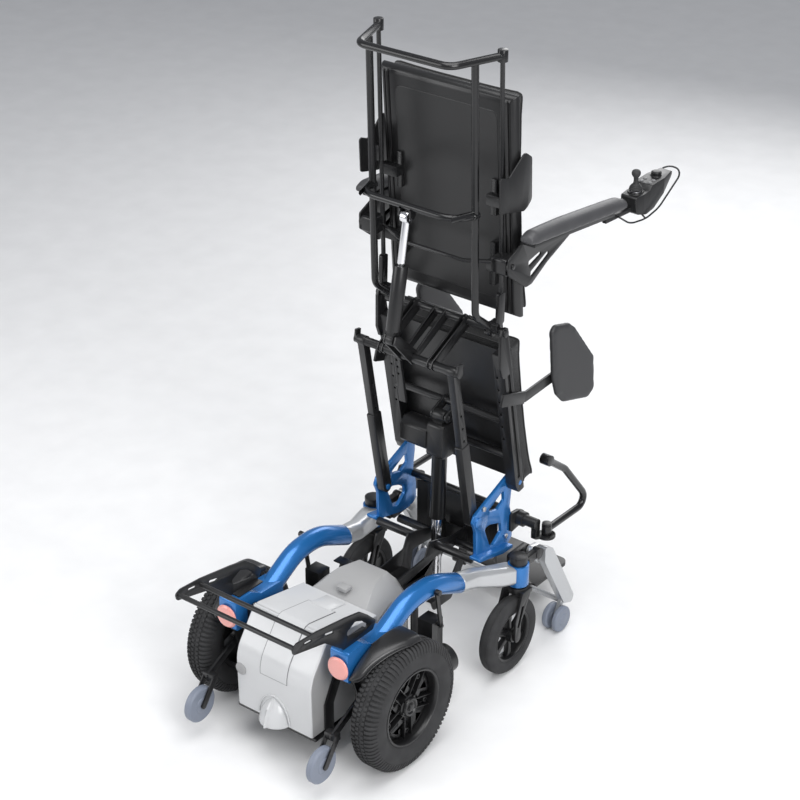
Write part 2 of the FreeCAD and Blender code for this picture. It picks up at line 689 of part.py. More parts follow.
def drive_rim():
    """Cast rim: barrel, dished web with five windows, paired ribs and bolted hub."""
    x, r = WHEEL_X, DRIVE_RIM_RADIUS
    barrel = turned([(x - 29, r), (x + 29, r), (x + 33, r + 3), (x + 33, r - 5),
                     (x + 20, r - 10), (x - 29, r - 10)], AXLE)
    web = pin(AXLE, x - 4, x + 4, r - 9)
    windows = []
    for i in range(SPOKE_PAIRS):
        turn = 360.0 * i / SPOKE_PAIRS
        lobe = plate([(-15, 48), (15, 48), (35, 84), (0, 93), (-35, 84)], 0, x - 8, x + 8)
        lobe.rotate(Vector(0, 0, 0), Vector(1, 0, 0), turn)
        lobe.translate(Vector(0, *AXLE))
        windows.append(lobe)
    web = web.cut(windows)
    ribs = []
    for i in range(SPOKE_PAIRS):
        turn = 360.0 * (i + 0.5) / SPOKE_PAIRS
        for offset in (-9.0, 9.0):
            rib = plate([(offset - 3.5, 24), (offset + 3.5, 24), (offset * 1.5 + 3, r - 6),
                         (offset * 1.5 - 3, r - 6)], 0, x + 2, x + 22)
            rib.rotate(Vector(0, 0, 0), Vector(1, 0, 0), turn)
            rib.translate(Vector(0, *AXLE))
            ribs.append(rib)
    hub = turned([(x - 28, 30), (x + 18, 30), (x + 27, 24), (x + 30, 17), (x + 30, 0.5),
                  (x + 27, 0.5), (x + 27, SHAFT_RADIUS + RUNNING),
                  (x - 28, SHAFT_RADIUS + RUNNING)], AXLE)
    hub = hub.fuse(pin(AXLE, x + 27, x + 30, 10))
    solid = fuse(barrel, web, *ribs, hub)
    return solid.cut(pin(AXLE, x - 40, x + 26 + RUNNING, SHAFT_RADIUS + RUNNING))


CASTER_AXLE = (CASTER_AXIS_Y + CASTER_TRAIL, CASTER_RADIUS)
FORK_IN = CASTER_WIDTH / 2 + 5
FORK_PLATE = 7.0
CASTER_PIN = 6.0


def caster_fork():
    """Two-legged caster fork with its stem, crown, cap and wheel axle."""
    x = CASTER_X
    top = CASTER_RADIUS * 2 + 9
    crown = post(x, CASTER_AXIS_Y, top, top + 18, 28)
    bridge = box(x - FORK_IN - FORK_PLATE, x + FORK_IN + FORK_PLATE,
                 CASTER_AXIS_Y - 20, CASTER_AXIS_Y + 24, top, top + 12)
    leg = [
        (CASTER_AXIS_Y - 20, top + 12), (CASTER_AXIS_Y + 24, top + 12),
        add(CASTER_AXLE, (12, 56)), add(CASTER_AXLE, (12, -13)), add(CASTER_AXLE, (-12, -13)),
        add(CASTER_AXLE, (-13, 44)),
    ]
    slot = [add(CASTER_AXLE, (-26, 92)), add(CASTER_AXLE, (-15, 94)),
            add(CASTER_AXLE, (4, 34)), add(CASTER_AXLE, (-5, 32))]
    legs = []
    for low in (x - FORK_IN - FORK_PLATE, x + FORK_IN):
        legs.append(plate(leg, 12, low, low + FORK_PLATE, [(slot, 4)]))
    stem = post(x, CASTER_AXIS_Y, top + 18, BARREL_HIGH, STEM_RADIUS)
    collar = post(x, CASTER_AXIS_Y, top + 18, BARREL_LOW - LOOSE, BARREL_RADIUS - 6)
    cap = post(x, CASTER_AXIS_Y, BARREL_HIGH + LOOSE, BARREL_HIGH + 24, BARREL_RADIUS - 5)
    neck = post(x, CASTER_AXIS_Y, BARREL_HIGH, BARREL_HIGH + LOOSE, STEM_RADIUS)
    axle = pin(CASTER_AXLE, x - FORK_IN, x + FORK_IN, CASTER_PIN)
    return fuse(crown, bridge, *legs, stem, collar, neck, cap, axle)


def caster_tyre():
    return tyre(CASTER_X, CASTER_WIDTH, CASTER_RADIUS, CASTER_RIM_RADIUS, CASTER_AXLE)


CASTER_SPOKES = 6


def caster_rim():
    x, r = CASTER_X, CASTER_RIM_RADIUS
    half = CASTER_WIDTH * 0.36
    barrel = turned([(x - half, r), (x + half, r), (x + half, r - 9), (x - half, r - 9)],
                    CASTER_AXLE)
    hub = pin(CASTER_AXLE, x - FORK_IN + 2, x + FORK_IN - 2, 17)
    spokes = []
    for i in range(CASTER_SPOKES):
        spoke = plate([(-7, 12), (7, 12), (5, r - 5), (-5, r - 5)], 0, x - 7, x + 7)
        spoke.rotate(Vector(0, 0, 0), Vector(1, 0, 0), 360.0 * i / CASTER_SPOKES)
        spoke.translate(Vector(0, *CASTER_AXLE))
        spokes.append(spoke)
    solid = fuse(barrel, hub, *spokes)
    return hole(solid, CASTER_AXLE, CASTER_PIN + RUNNING, x - FORK_IN, x + FORK_IN)


def small_wheel(x, centre, radius, width, bore):
    """Solid roller with a rounded tread and a raised hub."""
    half = width / 2
    solid = turned([
        (x - half, bore), (x - half, radius * 0.42), (x - half + 2, radius * 0.45),
        (x - half + 1, radius - 5), (x - half + 5, radius), (x + half - 5, radius),
        (x + half - 1, radius - 5), (x + half - 2, radius * 0.45), (x + half, radius * 0.42),
        (x + half, bore)], centre)
    return solid


def anti_tip_wheel():
    width = 2 * (FORK_GAP - 2)
    return small_wheel(ANTI_TIP_X, ANTI_TIP_WHEEL, ANTI_TIP_RADIUS, width, 5 + RUNNING)


SUPPORT_AXLE = (SUPPORT_WHEEL_Y, SUPPORT_RADIUS)
SUPPORT_PIN = 5.0
STEM_HALF = 5.0


def support_wheel():
    """Twin rollers on one axle, either side of the leg's stem."""
    width = 20.0
    offset = STEM_HALF + 1.5 + width / 2
    rollers = [
        small_wheel(SUPPORT_X + side * offset, SUPPORT_AXLE, SUPPORT_RADIUS, width,
                    SUPPORT_PIN - 1)
        for side in (-1, 1)
    ]
    reach = offset + width / 2
    axle = pin(SUPPORT_AXLE, SUPPORT_X - reach, SUPPORT_X + reach, SUPPORT_PIN)
    return fuse(*rollers, axle)


# Leg rest

FOOT_HINGE = (-768.0, 74.0)
FOOT_HINGE_RADIUS = 8.0


def leg_plates():
    """Silver leg members, their pivot ears, lower cross shaft and roller stems."""
    outline = [(-655, 314), (-692, 292), (-806, 82), (-798, 60), (-758, 76), (-655, 262)]
    panel = plate(outline, 9, LEG_IN, LEG_OUT)
    ear = plate([add(LEG_PIVOT, (14, 0)), add(LEG_PIVOT, (4, 14)), (-664, 308), (-690, 284),
                 (-704, 250), (-664, 244), add(LEG_PIVOT, (8, -14))], 9, *LEG_EAR)
    web = plate([(-660, 306), (-688, 286), (-702, 252), (-664, 250)], 0, LEG_EAR[1], LEG_IN)
    ear = hole(ear, LEG_PIVOT, 9 + RUNNING, *LEG_EAR)
    stem = strut((-762, 86), SUPPORT_AXLE, 20, SUPPORT_X - STEM_HALF, SUPPORT_X + STEM_HALF)
    stem = hole(stem, SUPPORT_AXLE, SUPPORT_PIN + RUNNING,
                SUPPORT_X - STEM_HALF, SUPPORT_X + STEM_HALF)
    shaft = pin(FOOT_HINGE, -LEG_IN, LEG_IN, FOOT_HINGE_RADIUS)
    left = fuse(panel, ear, web, stem)
    return fuse(left, mirrored(left), shaft)


FOOTPLATE_HALF = 140.0
FOOTPLATE_FRONT = -950.0


def footplate():
    """Folding footplate on two knuckles round the leg rest's cross shaft."""
    top = FOOT_HINGE[1] + 4
    rear = FOOT_HINGE[0] - FOOT_HINGE_RADIUS - 6
    tread = slab([(-FOOTPLATE_HALF, rear), (-FOOTPLATE_HALF, FOOTPLATE_FRONT),
                  (FOOTPLATE_HALF, FOOTPLATE_FRONT), (FOOTPLATE_HALF, rear)],
                 [2, 22, 22, 2], top - 12, top)
    knuckles = []
    for low in (-FOOTPLATE_HALF + 6, FOOTPLATE_HALF - 46):
        ring = pin(FOOT_HINGE, low, low + 40, FOOT_HINGE_RADIUS + 6)
        lug = box(low, low + 40, rear - 4, FOOT_HINGE[0], top - 12, top)
        knuckles.append(ring.fuse(lug))
    solid = fuse(tread, *knuckles)
    return hole(solid, FOOT_HINGE, FOOT_HINGE_RADIUS + RUNNING,
                -FOOTPLATE_HALF, FOOTPLATE_HALF)


KNEE_BAR_RADIUS = 10.0


def knee_bar():
    """Bent knee bar, its swivel sleeve and the end disc beside the knee."""
    low = KNEE_HUB_LOW + 7 + LOOSE
    sleeve = post(KNEE_HUB_X, KNEE_HUB_Y, low, KNEE_HUB_HIGH - 5 - LOOSE, 14)
    mid = low + 14
    path = [Vector(KNEE_HUB_X, y, z) for y, z in (
        (KNEE_HUB_Y - 4, mid), (-852, mid - 2), (-840, 398), (-744, 516), (-660, 580))]
    bar = bent(path, [26, 60, 60], KNEE_BAR_RADIUS)
    disc = pin((-656, 583), KNEE_HUB_X - 14, KNEE_HUB_X + 14, 15)
    solid = fuse(sleeve, bar, disc)
    return solid.cut(post(KNEE_HUB_X, KNEE_HUB_Y, 300, 420, 8 + RUNNING))


# Seat, hinged to the chassis at the knee

PAN_THICK = 4.0
PAN_N = RAIL_FRONT - PAN_THICK
RAIL_TOP = SEAT_LENGTH - 62.0
RAIL_STEP = 58.0
PAN_END = RAIL_TOP - 12.0
SEAT_CROSS = (208.0, 15.0)


def seat_rail():
    """Side rail of the seat with its knee knuckle, hip plate and row of holes."""
    beam = [seat(RAIL_STEP, RAIL_FRONT), seat(RAIL_STEP, RAIL_REAR), seat(RAIL_TOP, RAIL_REAR),
            seat(RAIL_TOP, RAIL_FRONT)]
    rail = plate(beam, 3, RAIL_IN, SEAT_HALF)
    knuckle = [seat(-26, RAIL_FRONT), seat(-26, 12), seat(0, RAIL_REAR),
               seat(RAIL_STEP + 6, RAIL_REAR), seat(RAIL_STEP + 6, RAIL_FRONT)]
    ear = plate(knuckle, [4, 8, 8, 0, 0], KNUCKLE_IN, SEAT_HALF)
    groove = plate([seat(20, -2), seat(20, 9), seat(390, 9), seat(390, -2)], 3,
                   SEAT_HALF - 4, SEAT_HALF + 1)
    hip = [seat(RAIL_TOP - 66, RAIL_FRONT), seat(RAIL_TOP - 66, RAIL_REAR + 8),
           seat(RAIL_TOP - 30, RAIL_REAR + 14), add(HIP, (16, -6)), add(HIP, (8, 15)),
           add(HIP, (-12, 13)), seat(RAIL_TOP + 10, RAIL_FRONT)]
    blade = plate(hip, 8, SEAT_HALF - 9, SEAT_HALF)
    solid = fuse(rail.cut(groove), ear.cut(groove), blade)
    solid = hole(solid, KNEE, KNEE_PIN + RUNNING, KNUCKLE_IN, SEAT_HALF)
    solid = hole(solid, HIP, PIVOT_RADIUS + RUNNING, SEAT_HALF - 9, SEAT_HALF)
    for i in range(6):
        hole_x = RAIL_IN + 8
        centre = Vector(hole_x, *seat(150 + 40 * i, RAIL_REAR + 1))
        solid = solid.cut(rod(centre, Vector(hole_x, *seat(150 + 40 * i, RAIL_REAR - 7)), 3.5))
    return solid


def seat_frame():
    """Two rails tied by cross tubes, with ears for the lift actuator's head."""
    left = seat_rail()
    tubes = [pin(seat(u, n), -RAIL_IN, RAIL_IN, 10) for u, n in (SEAT_CROSS, (84, 4))]
    ears = [strut(seat(*SEAT_CROSS), LIFT_HEAD, 30, LIFT_X + low, LIFT_X + low + 6)
            for low in (-26, 20)]
    bolt = pin(LIFT_HEAD, LIFT_X - 32, LIFT_X + 32, 7)
    return fuse(left, mirrored(left), *tubes, *ears, bolt)


def seat_pan():
    """Pan under the cushion, its lower edge turned up between the brackets."""
    low = PAN_N
    outline = [seat(-6, low), seat(-6, low + PAN_THICK), seat(PAN_END, low + PAN_THICK),
               seat(PAN_END, low)]
    return plate(outline, 1, -SEAT_HALF + 6, SEAT_HALF - 6)


def cushion_solid(half, start, length, thick, back, place):
    """Crowned cushion: its face swells and its sides draw in between the corners."""
    rows = []
    waist = 0.012 * length
    for share in (0.0, 0.5, 1.0):
        pull = waist * math.sin(math.pi * share)
        w = half - pull
        swell = CUSHION_CROWN * math.sin(math.pi * share)
        u = start + length * share
        front = back - thick
        edge = front + 12
        points = [(-w, back), (w, back), (w + 1, edge), (w - 14, front)]
        crown = Part.Arc(Vector(w - 14, *place(u, front)),
                         Vector(0, *place(u, front - 3 - swell)),
                         Vector(-w + 14, *place(u, front))).toShape()
        corner = [Vector(x, *place(u, n)) for x, n in
                  [(-w + 14, front), (-w - 1, edge), (-w, back), (w, back), (w + 1, edge),
                   (w - 14, front)]]
        sides = [Part.LineSegment(a, b).toShape() for a, b in zip(corner, corner[1:])]
        rows.append(Part.Wire(sides + [crown]))
    return Part.makeLoft(rows, True, False)


def seat_cushion():
    return cushion_solid(CUSHION_HALF, CUSHION_START, CUSHION_LENGTH, CUSHION_THICK,
                         PAN_N - 0.3, seat)


PAD_ARM_X = SEAT_HALF + 1.5
PAD_IN = 206.0
PAD_OUT = 226.0
PAD_ARM_Z = 803.0


def side_pad_arm():
    """Flat arm from the rail forward past the cushion to the side pad."""
    root = strut((-497, 814), (-600, 782), 34, SEAT_HALF, SEAT_HALF + 7, 3)
    reach = strut((-596, 783), (-750, 792), 30, SEAT_HALF + 1, SEAT_HALF + 7, 4)
    return fuse(root, reach)


def side_pad():
    """Shield-shaped pad beside the hip."""
    outline = [(-690, 940), (-706, 957), (-775, 939), (-806, 914), (-904, 790), (-912, 684),
               (-880, 666), (-758, 702), (-724, 738), (-705, 795)]
    return plate(outline, 18, SEAT_HALF + 7.3, SEAT_HALF + 23)


# Carrier: stays upright as the seat and links swing, and holds the backrest

HIP_TUBE = add(HIP, (-47.0, -26.0))
LEVER_X_MID = 80.0
CROSSBAR_RADIUS = 12.0
SLEEVE_RADIUS = 18.0


def hip_carrier():
    """Hip shaft, lever bars to the rear crossbar, hip tube and the recline fork."""
    shaft = pin(HIP, -SEAT_HALF - 4, SEAT_HALF + 4, PIVOT_RADIUS)
    tube = pin(HIP_TUBE, -146, 146, 11)
    pieces = [shaft, tube]
    lever = [add(HIP_TUBE, (-14, -2)), add(HIP_TUBE, (-6, -13)), add(HIP, (-6, -14)),
             add(LINK_HEAD, (2, -17)), add(LINK_HEAD, (17, -2)), add(LINK_HEAD, (8, 15)),
             add(HIP, (10, 14)), add(HIP, (-8, 14))]
    for side in (-1, 1):
        for offset in (-9.0, 5.0):
            x = side * LEVER_X_MID + offset
            pieces.append(plate(lever, 0, x, x + 4))
    fork = [add(HIP, (-14, 4)), add(HIP, (-6, -14)), add(LINK_HEAD, (4, -18)),
            add(RECLINE_FOOT, (14, -6)), add(RECLINE_FOOT, (6, 14)),
            add(RECLINE_FOOT, (-12, 8)), add(LINK_HEAD, (-16, 14)), add(HIP, (4, 14))]
    for low in (-20.0, 14.0):
        pieces.append(plate(fork, 0, low, low + 6))
    pieces.append(pin(RECLINE_FOOT, -20, 20, 7))
    solid = fuse(*pieces)
    return hole(solid, LINK_HEAD, CROSSBAR_RADIUS + LOOSE, -100, 100)


# Links, hinged to the chassis behind the knee

def link():
    """Telescopic square link: lower sleeve, inner tube and a row of holes."""
    step = 250.0
    x_in, x_out = LINK_IN, LINK_OUT
    lower = strut(LINK_FOOT, along(LINK_FOOT, LINK_HEAD, step), LINK_DEPTH + 4, x_in - 1,
                  x_out + 1, 4)
    foot = pin(LINK_FOOT, x_in - 1, x_out + 1, LINK_DEPTH / 2 + 2)
    upper = strut(along(LINK_FOOT, LINK_HEAD, step), LINK_HEAD, LINK_DEPTH - 4, x_in + 1,
                  x_out - 1, 0)
    head = pin(LINK_HEAD, x_in - 1, x_out + 1, LINK_DEPTH / 2)
    solid = fuse(lower, foot, upper, head)
    for i in range(3):
        point = along(LINK_FOOT, LINK_HEAD, 268 + 40 * i)
        solid = hole(solid, point, 3.5, x_in, x_out)
    return hole(solid, LINK_FOOT, FOOT_PIN + RUNNING, x_in - 2, x_out + 2)


def link_frame():
    """Both links, their top crossbar with end hooks, and the perforated stay."""
    left = link()
    bar = pin(LINK_HEAD, -LINK_OUT - 12, LINK_OUT + 12, CROSSBAR_RADIUS)
    hook = strut(LINK_HEAD, add(LINK_HEAD, (-4, 26)), 20, LINK_OUT + 6, LINK_OUT + 12, 3)
    stay_low = along(LINK_HEAD, LINK_FOOT, 158)
    stay = strut(LINK_HEAD, stay_low, 9, 24, 46, 3)
    for i in range(3):
        y, z = along(LINK_HEAD, LINK_FOOT, 24 + 22 * i)
        stay = stay.cut(rod(Vector(35, y - 20, z - 4), Vector(35, y + 20, z + 4), 3.5))
    return fuse(left, mirrored(left), bar, hook, mirrored(hook), stay)


# Lift actuator, from the chassis bracket to the seat frame

LIFT_TUBE_END = 308.0
LIFT_BORE_TOP = 62.0
LIFT_TRAVEL = 212.0
LIFT_HOUSING = (18.0, 116.0)
EYE_BORE = 25.0


def lift(distance, offset=0.0):
    """Point on the lift actuator's axis, measured from its head pin."""
    return along(LIFT_HEAD, LIFT_FOOT, distance, offset)


def lift_actuator():
    """Motor head, gear column and outer tube of the lift actuator."""
    first, last = LIFT_HOUSING
    eye = pin(LIFT_HEAD, LIFT_X - 18, LIFT_X + 18, 17)
    neck = strut(LIFT_HEAD, lift(first + 20), 30, LIFT_X - 16, LIFT_X + 16, 2)
    column = strut(lift(first), lift(last), 58, LIFT_X - 28, LIFT_X + 24, 12)
    start = Vector(LIFT_X + 24, *lift((first + last) / 2 + 2, 2))
    motor = rod(start, start + Vector(86, 0, 0), 41)
    motor = motor.common(strut(lift(first), lift(last), 66, LIFT_X, LIFT_X + 160, 14))
    tube = rod(Vector(LIFT_X, *lift(last - 2)), Vector(LIFT_X, *lift(LIFT_TUBE_END)),
               LIFT_TUBE_RADIUS)
    solid = fuse(eye, neck, column, motor, tube)
    solid = hole(solid, LIFT_HEAD, 7 + RUNNING, LIFT_X - 20, LIFT_X + 20)
    bore = rod(Vector(LIFT_X, *lift(LIFT_BORE_TOP)), Vector(LIFT_X, *lift(LIFT_TUBE_END + 5)),
               LIFT_ROD_RADIUS + LOOSE)
    return solid.cut(bore)


def lift_rod():
    """Inner rod of the lift actuator, with a wide eye round the chassis pin."""
    span = math.dist(LIFT_HEAD, LIFT_FOOT)
    inner = rod(Vector(LIFT_X, *lift(LIFT_BORE_TOP + LIFT_TRAVEL)),
                Vector(LIFT_X, *lift(span - EYE_BORE - 4)), LIFT_ROD_RADIUS)
    eye = pin(LIFT_FOOT, LIFT_X - 9, LIFT_X + 9, EYE_BORE + 7)
    solid = fuse(inner, eye)
    return hole(solid, LIFT_FOOT, EYE_BORE, LIFT_X - 10, LIFT_X + 10)


# Backrest, hinged to the carrier at the hip

def back(v, depth):
    """Point of the backrest: v up from the foot of the cushion, depth behind its rear face."""
    lean = math.radians(BACK_LEAN)
    y = BACK_REAR_LOW_Y + v * math.sin(lean) + depth * math.cos(lean)
    return (y, BACK_LOW + v * math.cos(lean) - depth * math.sin(lean))


BACK_LENGTH = (BACK_HIGH - BACK_LOW) / math.cos(math.radians(BACK_LEAN))
SHELL_DEPTH = 24.0
SHELL_WALL = 4.0
ROD_TOP = (-494.0, GRIP_Z - 12)
ROD_FOOT = (-510.0, 1112.0)


def rod_at(z):
    """Side-view point of the thin back rod at a height."""
    share = (z - ROD_FOOT[1]) / (ROD_TOP[1] - ROD_FOOT[1])
    return (ROD_FOOT[0] + share * (ROD_TOP[0] - ROD_FOOT[0]), z)


def back_frame():
    """Tube cage behind the backrest: canes, grip bar, cross bars, rods and hip plates."""
    cane_top, cane_low = (-422.0, GRIP_Z - 6), (-440.0, 1062.0)
    pieces = []
    for side in (-1, 1):
        x = side * CANE_X
        path = [Vector(x, *cane_top), Vector(x, *cane_low), Vector(x, HIP[0], HIP[1] + 4)]
        pieces.append(bent(path, 38, CANE_RADIUS))
        pieces.append(pin(HIP, x - 10, x + 10, 19))
        rod_x = side * ROD_X
        pieces.append(rod(Vector(rod_x, *ROD_TOP), Vector(rod_x, *ROD_FOOT), ROD_RADIUS))
        pieces.append(post(rod_x, -494, GRIP_Z - 14, GRIP_Z + 16, 13))
        low, high = sorted((side * (ROD_X - 6), side * (ROD_X + 6)))
        pieces.append(strut(ROD_FOOT, add(HIP, (4, 26)), 24, low, high, 6))
        pieces.append(strut(HIP, add(HIP, (4, 30)), 26, *sorted((x + side * 4, rod_x)), 6))
        for low_z, length in ((STRIP_LOW, 117), (STRIP_LOW + 191, 96)):
            high_z = low_z + length
            mid_z = (low_z + high_z) / 2
            strip = box(*sorted((side * (CANE_X - 20), side * (CANE_X - 4))), STRIP_Y - 44,
                        STRIP_Y + 1, low_z, high_z)
            pieces.append(strip.cut(shell_tray(BACK_HALF, 0, 26, 0, BACK_LENGTH, -60)))
            pieces.append(box(*sorted((side * (CANE_X - 20), side * (ROD_X + 4))), STRIP_Y,
                              rod_at(mid_z)[0], mid_z - 14, mid_z + 14))
        clamp_y, clamp_z = rod_at(LATERAL_FOOT[1] + 69)
        pieces.append(box(*sorted((side * ROD_X, side * LATERAL_X)), clamp_y - 10, clamp_y + 10,
                          clamp_z - 20, clamp_z + 20))
    top = [Vector(-ROD_X, -494, GRIP_Z), Vector(-CANE_X + 22, GRIP_BAR_Y, GRIP_Z),
           Vector(CANE_X - 22, GRIP_BAR_Y, GRIP_Z), Vector(ROD_X, -494, GRIP_Z)]
    pieces.append(bent(top, 34, CANE_RADIUS))
    corner = CANE_X - 22
    middle = [Vector(-CANE_X, -426, MID_BAR_Z), Vector(-corner, MID_BAR_Y, MID_BAR_Z),
              Vector(corner, MID_BAR_Y, MID_BAR_Z), Vector(CANE_X, -426, MID_BAR_Z)]
    pieces.append(bent(middle, 0, CANE_RADIUS - 0.5))
    bow = [Vector(-ROD_X, *rod_at(1198.0)), Vector(-96, -474, 1188), Vector(96, -474, 1188),
           Vector(ROD_X, *rod_at(1198.0))]
    pieces.append(bent(bow, 0, 5))
    for low in (-20.0, 14.0):
        pieces.append(strut((MID_BAR_Y, MID_BAR_Z), RECLINE_HEAD, 22, low, low + 6, 5))
    pieces.append(pin(RECLINE_HEAD, -20, 20, 5))
    mount = armrest_mount()
    pieces += [mount, mirrored(mount)]
    return hole(fuse(*pieces), HIP, PIVOT_RADIUS + RUNNING, -200, 200)


MID_BAR_Z = 1346.0
MID_BAR_Y = -366.0


def back_cushion():
    """Back cushion, standing on the front edge of the shell."""
    return cushion_solid(BACK_HALF - 2, 0, BACK_LENGTH, BACK_THICK - SHELL_DEPTH,
                         -SHELL_DEPTH - 0.3, back)


def shell_tray(half, depth, corner, low, high, front):
    """Prism up the backrest, open edge to the front, with its rear corners rounded."""
    points = [(half, front), (half, depth), (-half, depth), (-half, front)]
    base = [Vector(x, *back(low, n)) for x, n in points]
    rise = Vector(0, *back(high, 0)) - Vector(0, *back(low, 0))
    return Part.Face(rounded(base, [0, corner, corner, 0])).extrude(rise)


def back_shell():
    """Moulded shell behind the back cushion: a tray with broad rounded long edges."""
    wall = SHELL_WALL
    outer = shell_tray(BACK_HALF, 0, 26, 0, BACK_LENGTH, -SHELL_DEPTH)
    inner = shell_tray(BACK_HALF - wall, -wall, 22, wall, BACK_LENGTH - wall,
                       -SHELL_DEPTH - 1)
    return outer.cut(inner)


LATERAL_X = BACK_HALF + 9.0
LATERAL_FOOT = (-593.0, 1329.0)
LATERAL_WALL = 4.0
STRIP_Y = -526.0
STRIP_LOW = 1116.0


def lateral_support():
    """Trunk support: a thin panel beside the back whose front half curves inwards."""
    front, foot = LATERAL_FOOT
    inner = [(LATERAL_X, front + 143), (LATERAL_X, front + 93), (LATERAL_X + 3, front + 58),
             (LATERAL_X + 2, front + 25), (LATERAL_X - 4, front - 3)]
    outer = [(x + LATERAL_WALL, y) for x, y in inner]
    blank = slab(inner + outer[::-1], 0, foot - 9, foot + 171)
    corners = [(138, 23), (142, 119), (106, 105), (44, 157), (6, 131), (0, 17), (41, 0)]
    outline = [add(LATERAL_FOOT, corner) for corner in corners]
    return blank.common(plate(outline, [8, 8, 14, 16, 14, 12, 14], LATERAL_X - 20,
                              LATERAL_X + 20))


# Armrests

ARM_AXLE = 7.0


def armrest():
    """Slotted triangular arm plate, its hub and the rail under the pad."""
    under = -9.0
    rail_rear = along(ARM_PAD_REAR, ARM_PAD_FRONT, 26, under)
    rail_front = along(ARM_PAD_REAR, ARM_PAD_FRONT, 392, under)
    outline = [
        add(ARM_HUB, (16, 24)), rail_rear, along(ARM_PAD_REAR, ARM_PAD_FRONT, 250, under),
        along(ARM_PAD_REAR, ARM_PAD_FRONT, 250, under - 22), (-640, 1166), (-572, 1128),
        add(ARM_HUB, (-60, -78)), add(ARM_HUB, (16, -20)),
    ]
    slot_a = [(-556, 1180), (-556, 1196), (-604, 1206), (-612, 1198)]
    slot_b = [(-566, 1146), (-566, 1164), (-640, 1196), (-646, 1186)]
    panel = plate(outline, 8, ARM_X, ARM_X + ARM_PLATE, [(slot_a, 4), (slot_b, 4)])
    hub = pin(ARM_HUB, ARM_X - 4, ARM_X + ARM_PLATE, 17)
    rail = strut(rail_rear, rail_front, 12, ARM_X, ARM_PAD_X + 12, 2)
    solid = fuse(panel, hub, rail)
    return hole(solid, ARM_HUB, ARM_AXLE + RUNNING, ARM_X - 5, ARM_X + ARM_PLATE)


def armrest_mount():
    """Block on the cage's rod that carries the armrest's hinge pin."""
    block = plate([add(ARM_HUB, (18, 20)), add(ARM_HUB, (-30, 20)), add(ARM_HUB, (-30, -20)),
                   add(ARM_HUB, (18, -26))], 8, ROD_X - 4, ARM_X - 4 - LOOSE)
    block = block.cut(back_shell())
    return fuse(block, pin(ARM_HUB, ROD_X + 4, ARM_X + ARM_PLATE + 3, ARM_AXLE))


def arm_pad():
    """Long pad with rounded ends and a domed top, on the armrest's rail."""
    length = math.dist(ARM_PAD_REAR, ARM_PAD_FRONT)
    rows = []
    for share, grow, rise in ((0.0, 0.7, 0.6), (0.05, 0.94, 0.92), (0.35, 1.0, 1.0),
                              (0.92, 0.98, 0.9), (1.0, 0.74, 0.62)):
        half = 0.5 * ARM_PAD_WIDTH * grow
        height = 37.0 * rise

        def place(x, n, share=share):
            y, z = along(ARM_PAD_REAR, ARM_PAD_FRONT, length * share, n)
            return Vector(ARM_PAD_X + x, y, z)
        under = -2.7
        dome = Part.Arc(place(half, 12), place(0, under + height), place(-half, 12)).toShape()
        corners = [place(-half, 12), place(-half, under), place(half, under), place(half, 12)]
        sides = [Part.LineSegment(a, b).toShape() for a, b in zip(corners, corners[1:])]
        rows.append(Part.Wire(sides + [dome]))
    return Part.makeLoft(rows, True, True)


# Control pod on the right armrest

POD_X = -ARM_PAD_X
STICK = (-1007.0, 1240.0)
POD_TILT = 2.0


def pod(forward, rise):
    """Point of the control pod: forward of the stick and above its deck."""
    tilt = math.radians(POD_TILT)
    return (STICK[0] - forward * math.cos(tilt) + rise * math.sin(tilt),
            STICK[1] + forward * math.sin(tilt) + rise * math.cos(tilt))


DIAL_FORWARD = 100.0
DECK = 12.0


def control_pod():
    """Joystick housing, oval key deck, bail loop and the tube under the pad."""
    x = POD_X
    body = [pod(-36, 0), pod(-32, -48), pod(12, -62), pod(48, -58), pod(148, -4),
            pod(156, 6), pod(148, DECK), pod(38, DECK), pod(26, 0)]
    shell = plate(body, [8, 16, 22, 24, 6, 5, 4, 8, 4], x - 28, x + 28)
    plan = [(x - 24, STICK[0] + 40), (x - 28, STICK[0]), (x - 28, STICK[0] - 96),
            (x - 15, STICK[0] - 160), (x + 15, STICK[0] - 160), (x + 28, STICK[0] - 96),
            (x + 28, STICK[0]), (x + 24, STICK[0] + 40)]
    shell = shell.common(slab(plan, 13, 1100, 1400))
    ring = rod(Vector(x, *pod(0, -8)), Vector(x, *pod(0, 4)), 21)
    cup = rod(Vector(x, *pod(0, -12)), Vector(x, *pod(0, 12)), 17)
    socket = rod(Vector(x, *pod(DIAL_FORWARD, DECK - 2)),
                 Vector(x, *pod(DIAL_FORWARD, DECK + 2)), 15)
    tube = strut((-860, 1206), (-1000, 1198), 12, x - 6, x + 6, 3)
    loop = [Vector(x - 12, -908, 1206), Vector(x - 20, -956, 1172), Vector(x - 34, -1010, 1172),
            Vector(x - 38, -1066, 1186), Vector(x - 38, -1168, 1248), Vector(x - 12, -1190, 1256),
            Vector(x + 16, -1174, 1256), Vector(x + 16, -1150, 1250)]
    bail = bent(loop, 0, 2.5)
    clip = rod(Vector(x - 20, -1010, 1182), Vector(x - 34, -1010, 1172), 2.5)
    solid = fuse(shell, ring, socket, tube, bail, clip)
    spindle = rod(Vector(x, *pod(DIAL_FORWARD, DECK + 2)),
                  Vector(x, *pod(DIAL_FORWARD, DECK + 8)), 4)
    return fuse(solid.cut(cup), spindle)


def joystick_gimbal():
    """Ring inside the joystick well that tips fore and aft."""
    x = POD_X
    outer = rod(Vector(x, *pod(0, -6)), Vector(x, *pod(0, 6)), 15.5)
    return outer.cut(rod(Vector(x, *pod(0, -12)), Vector(x, *pod(0, 12)), 12))


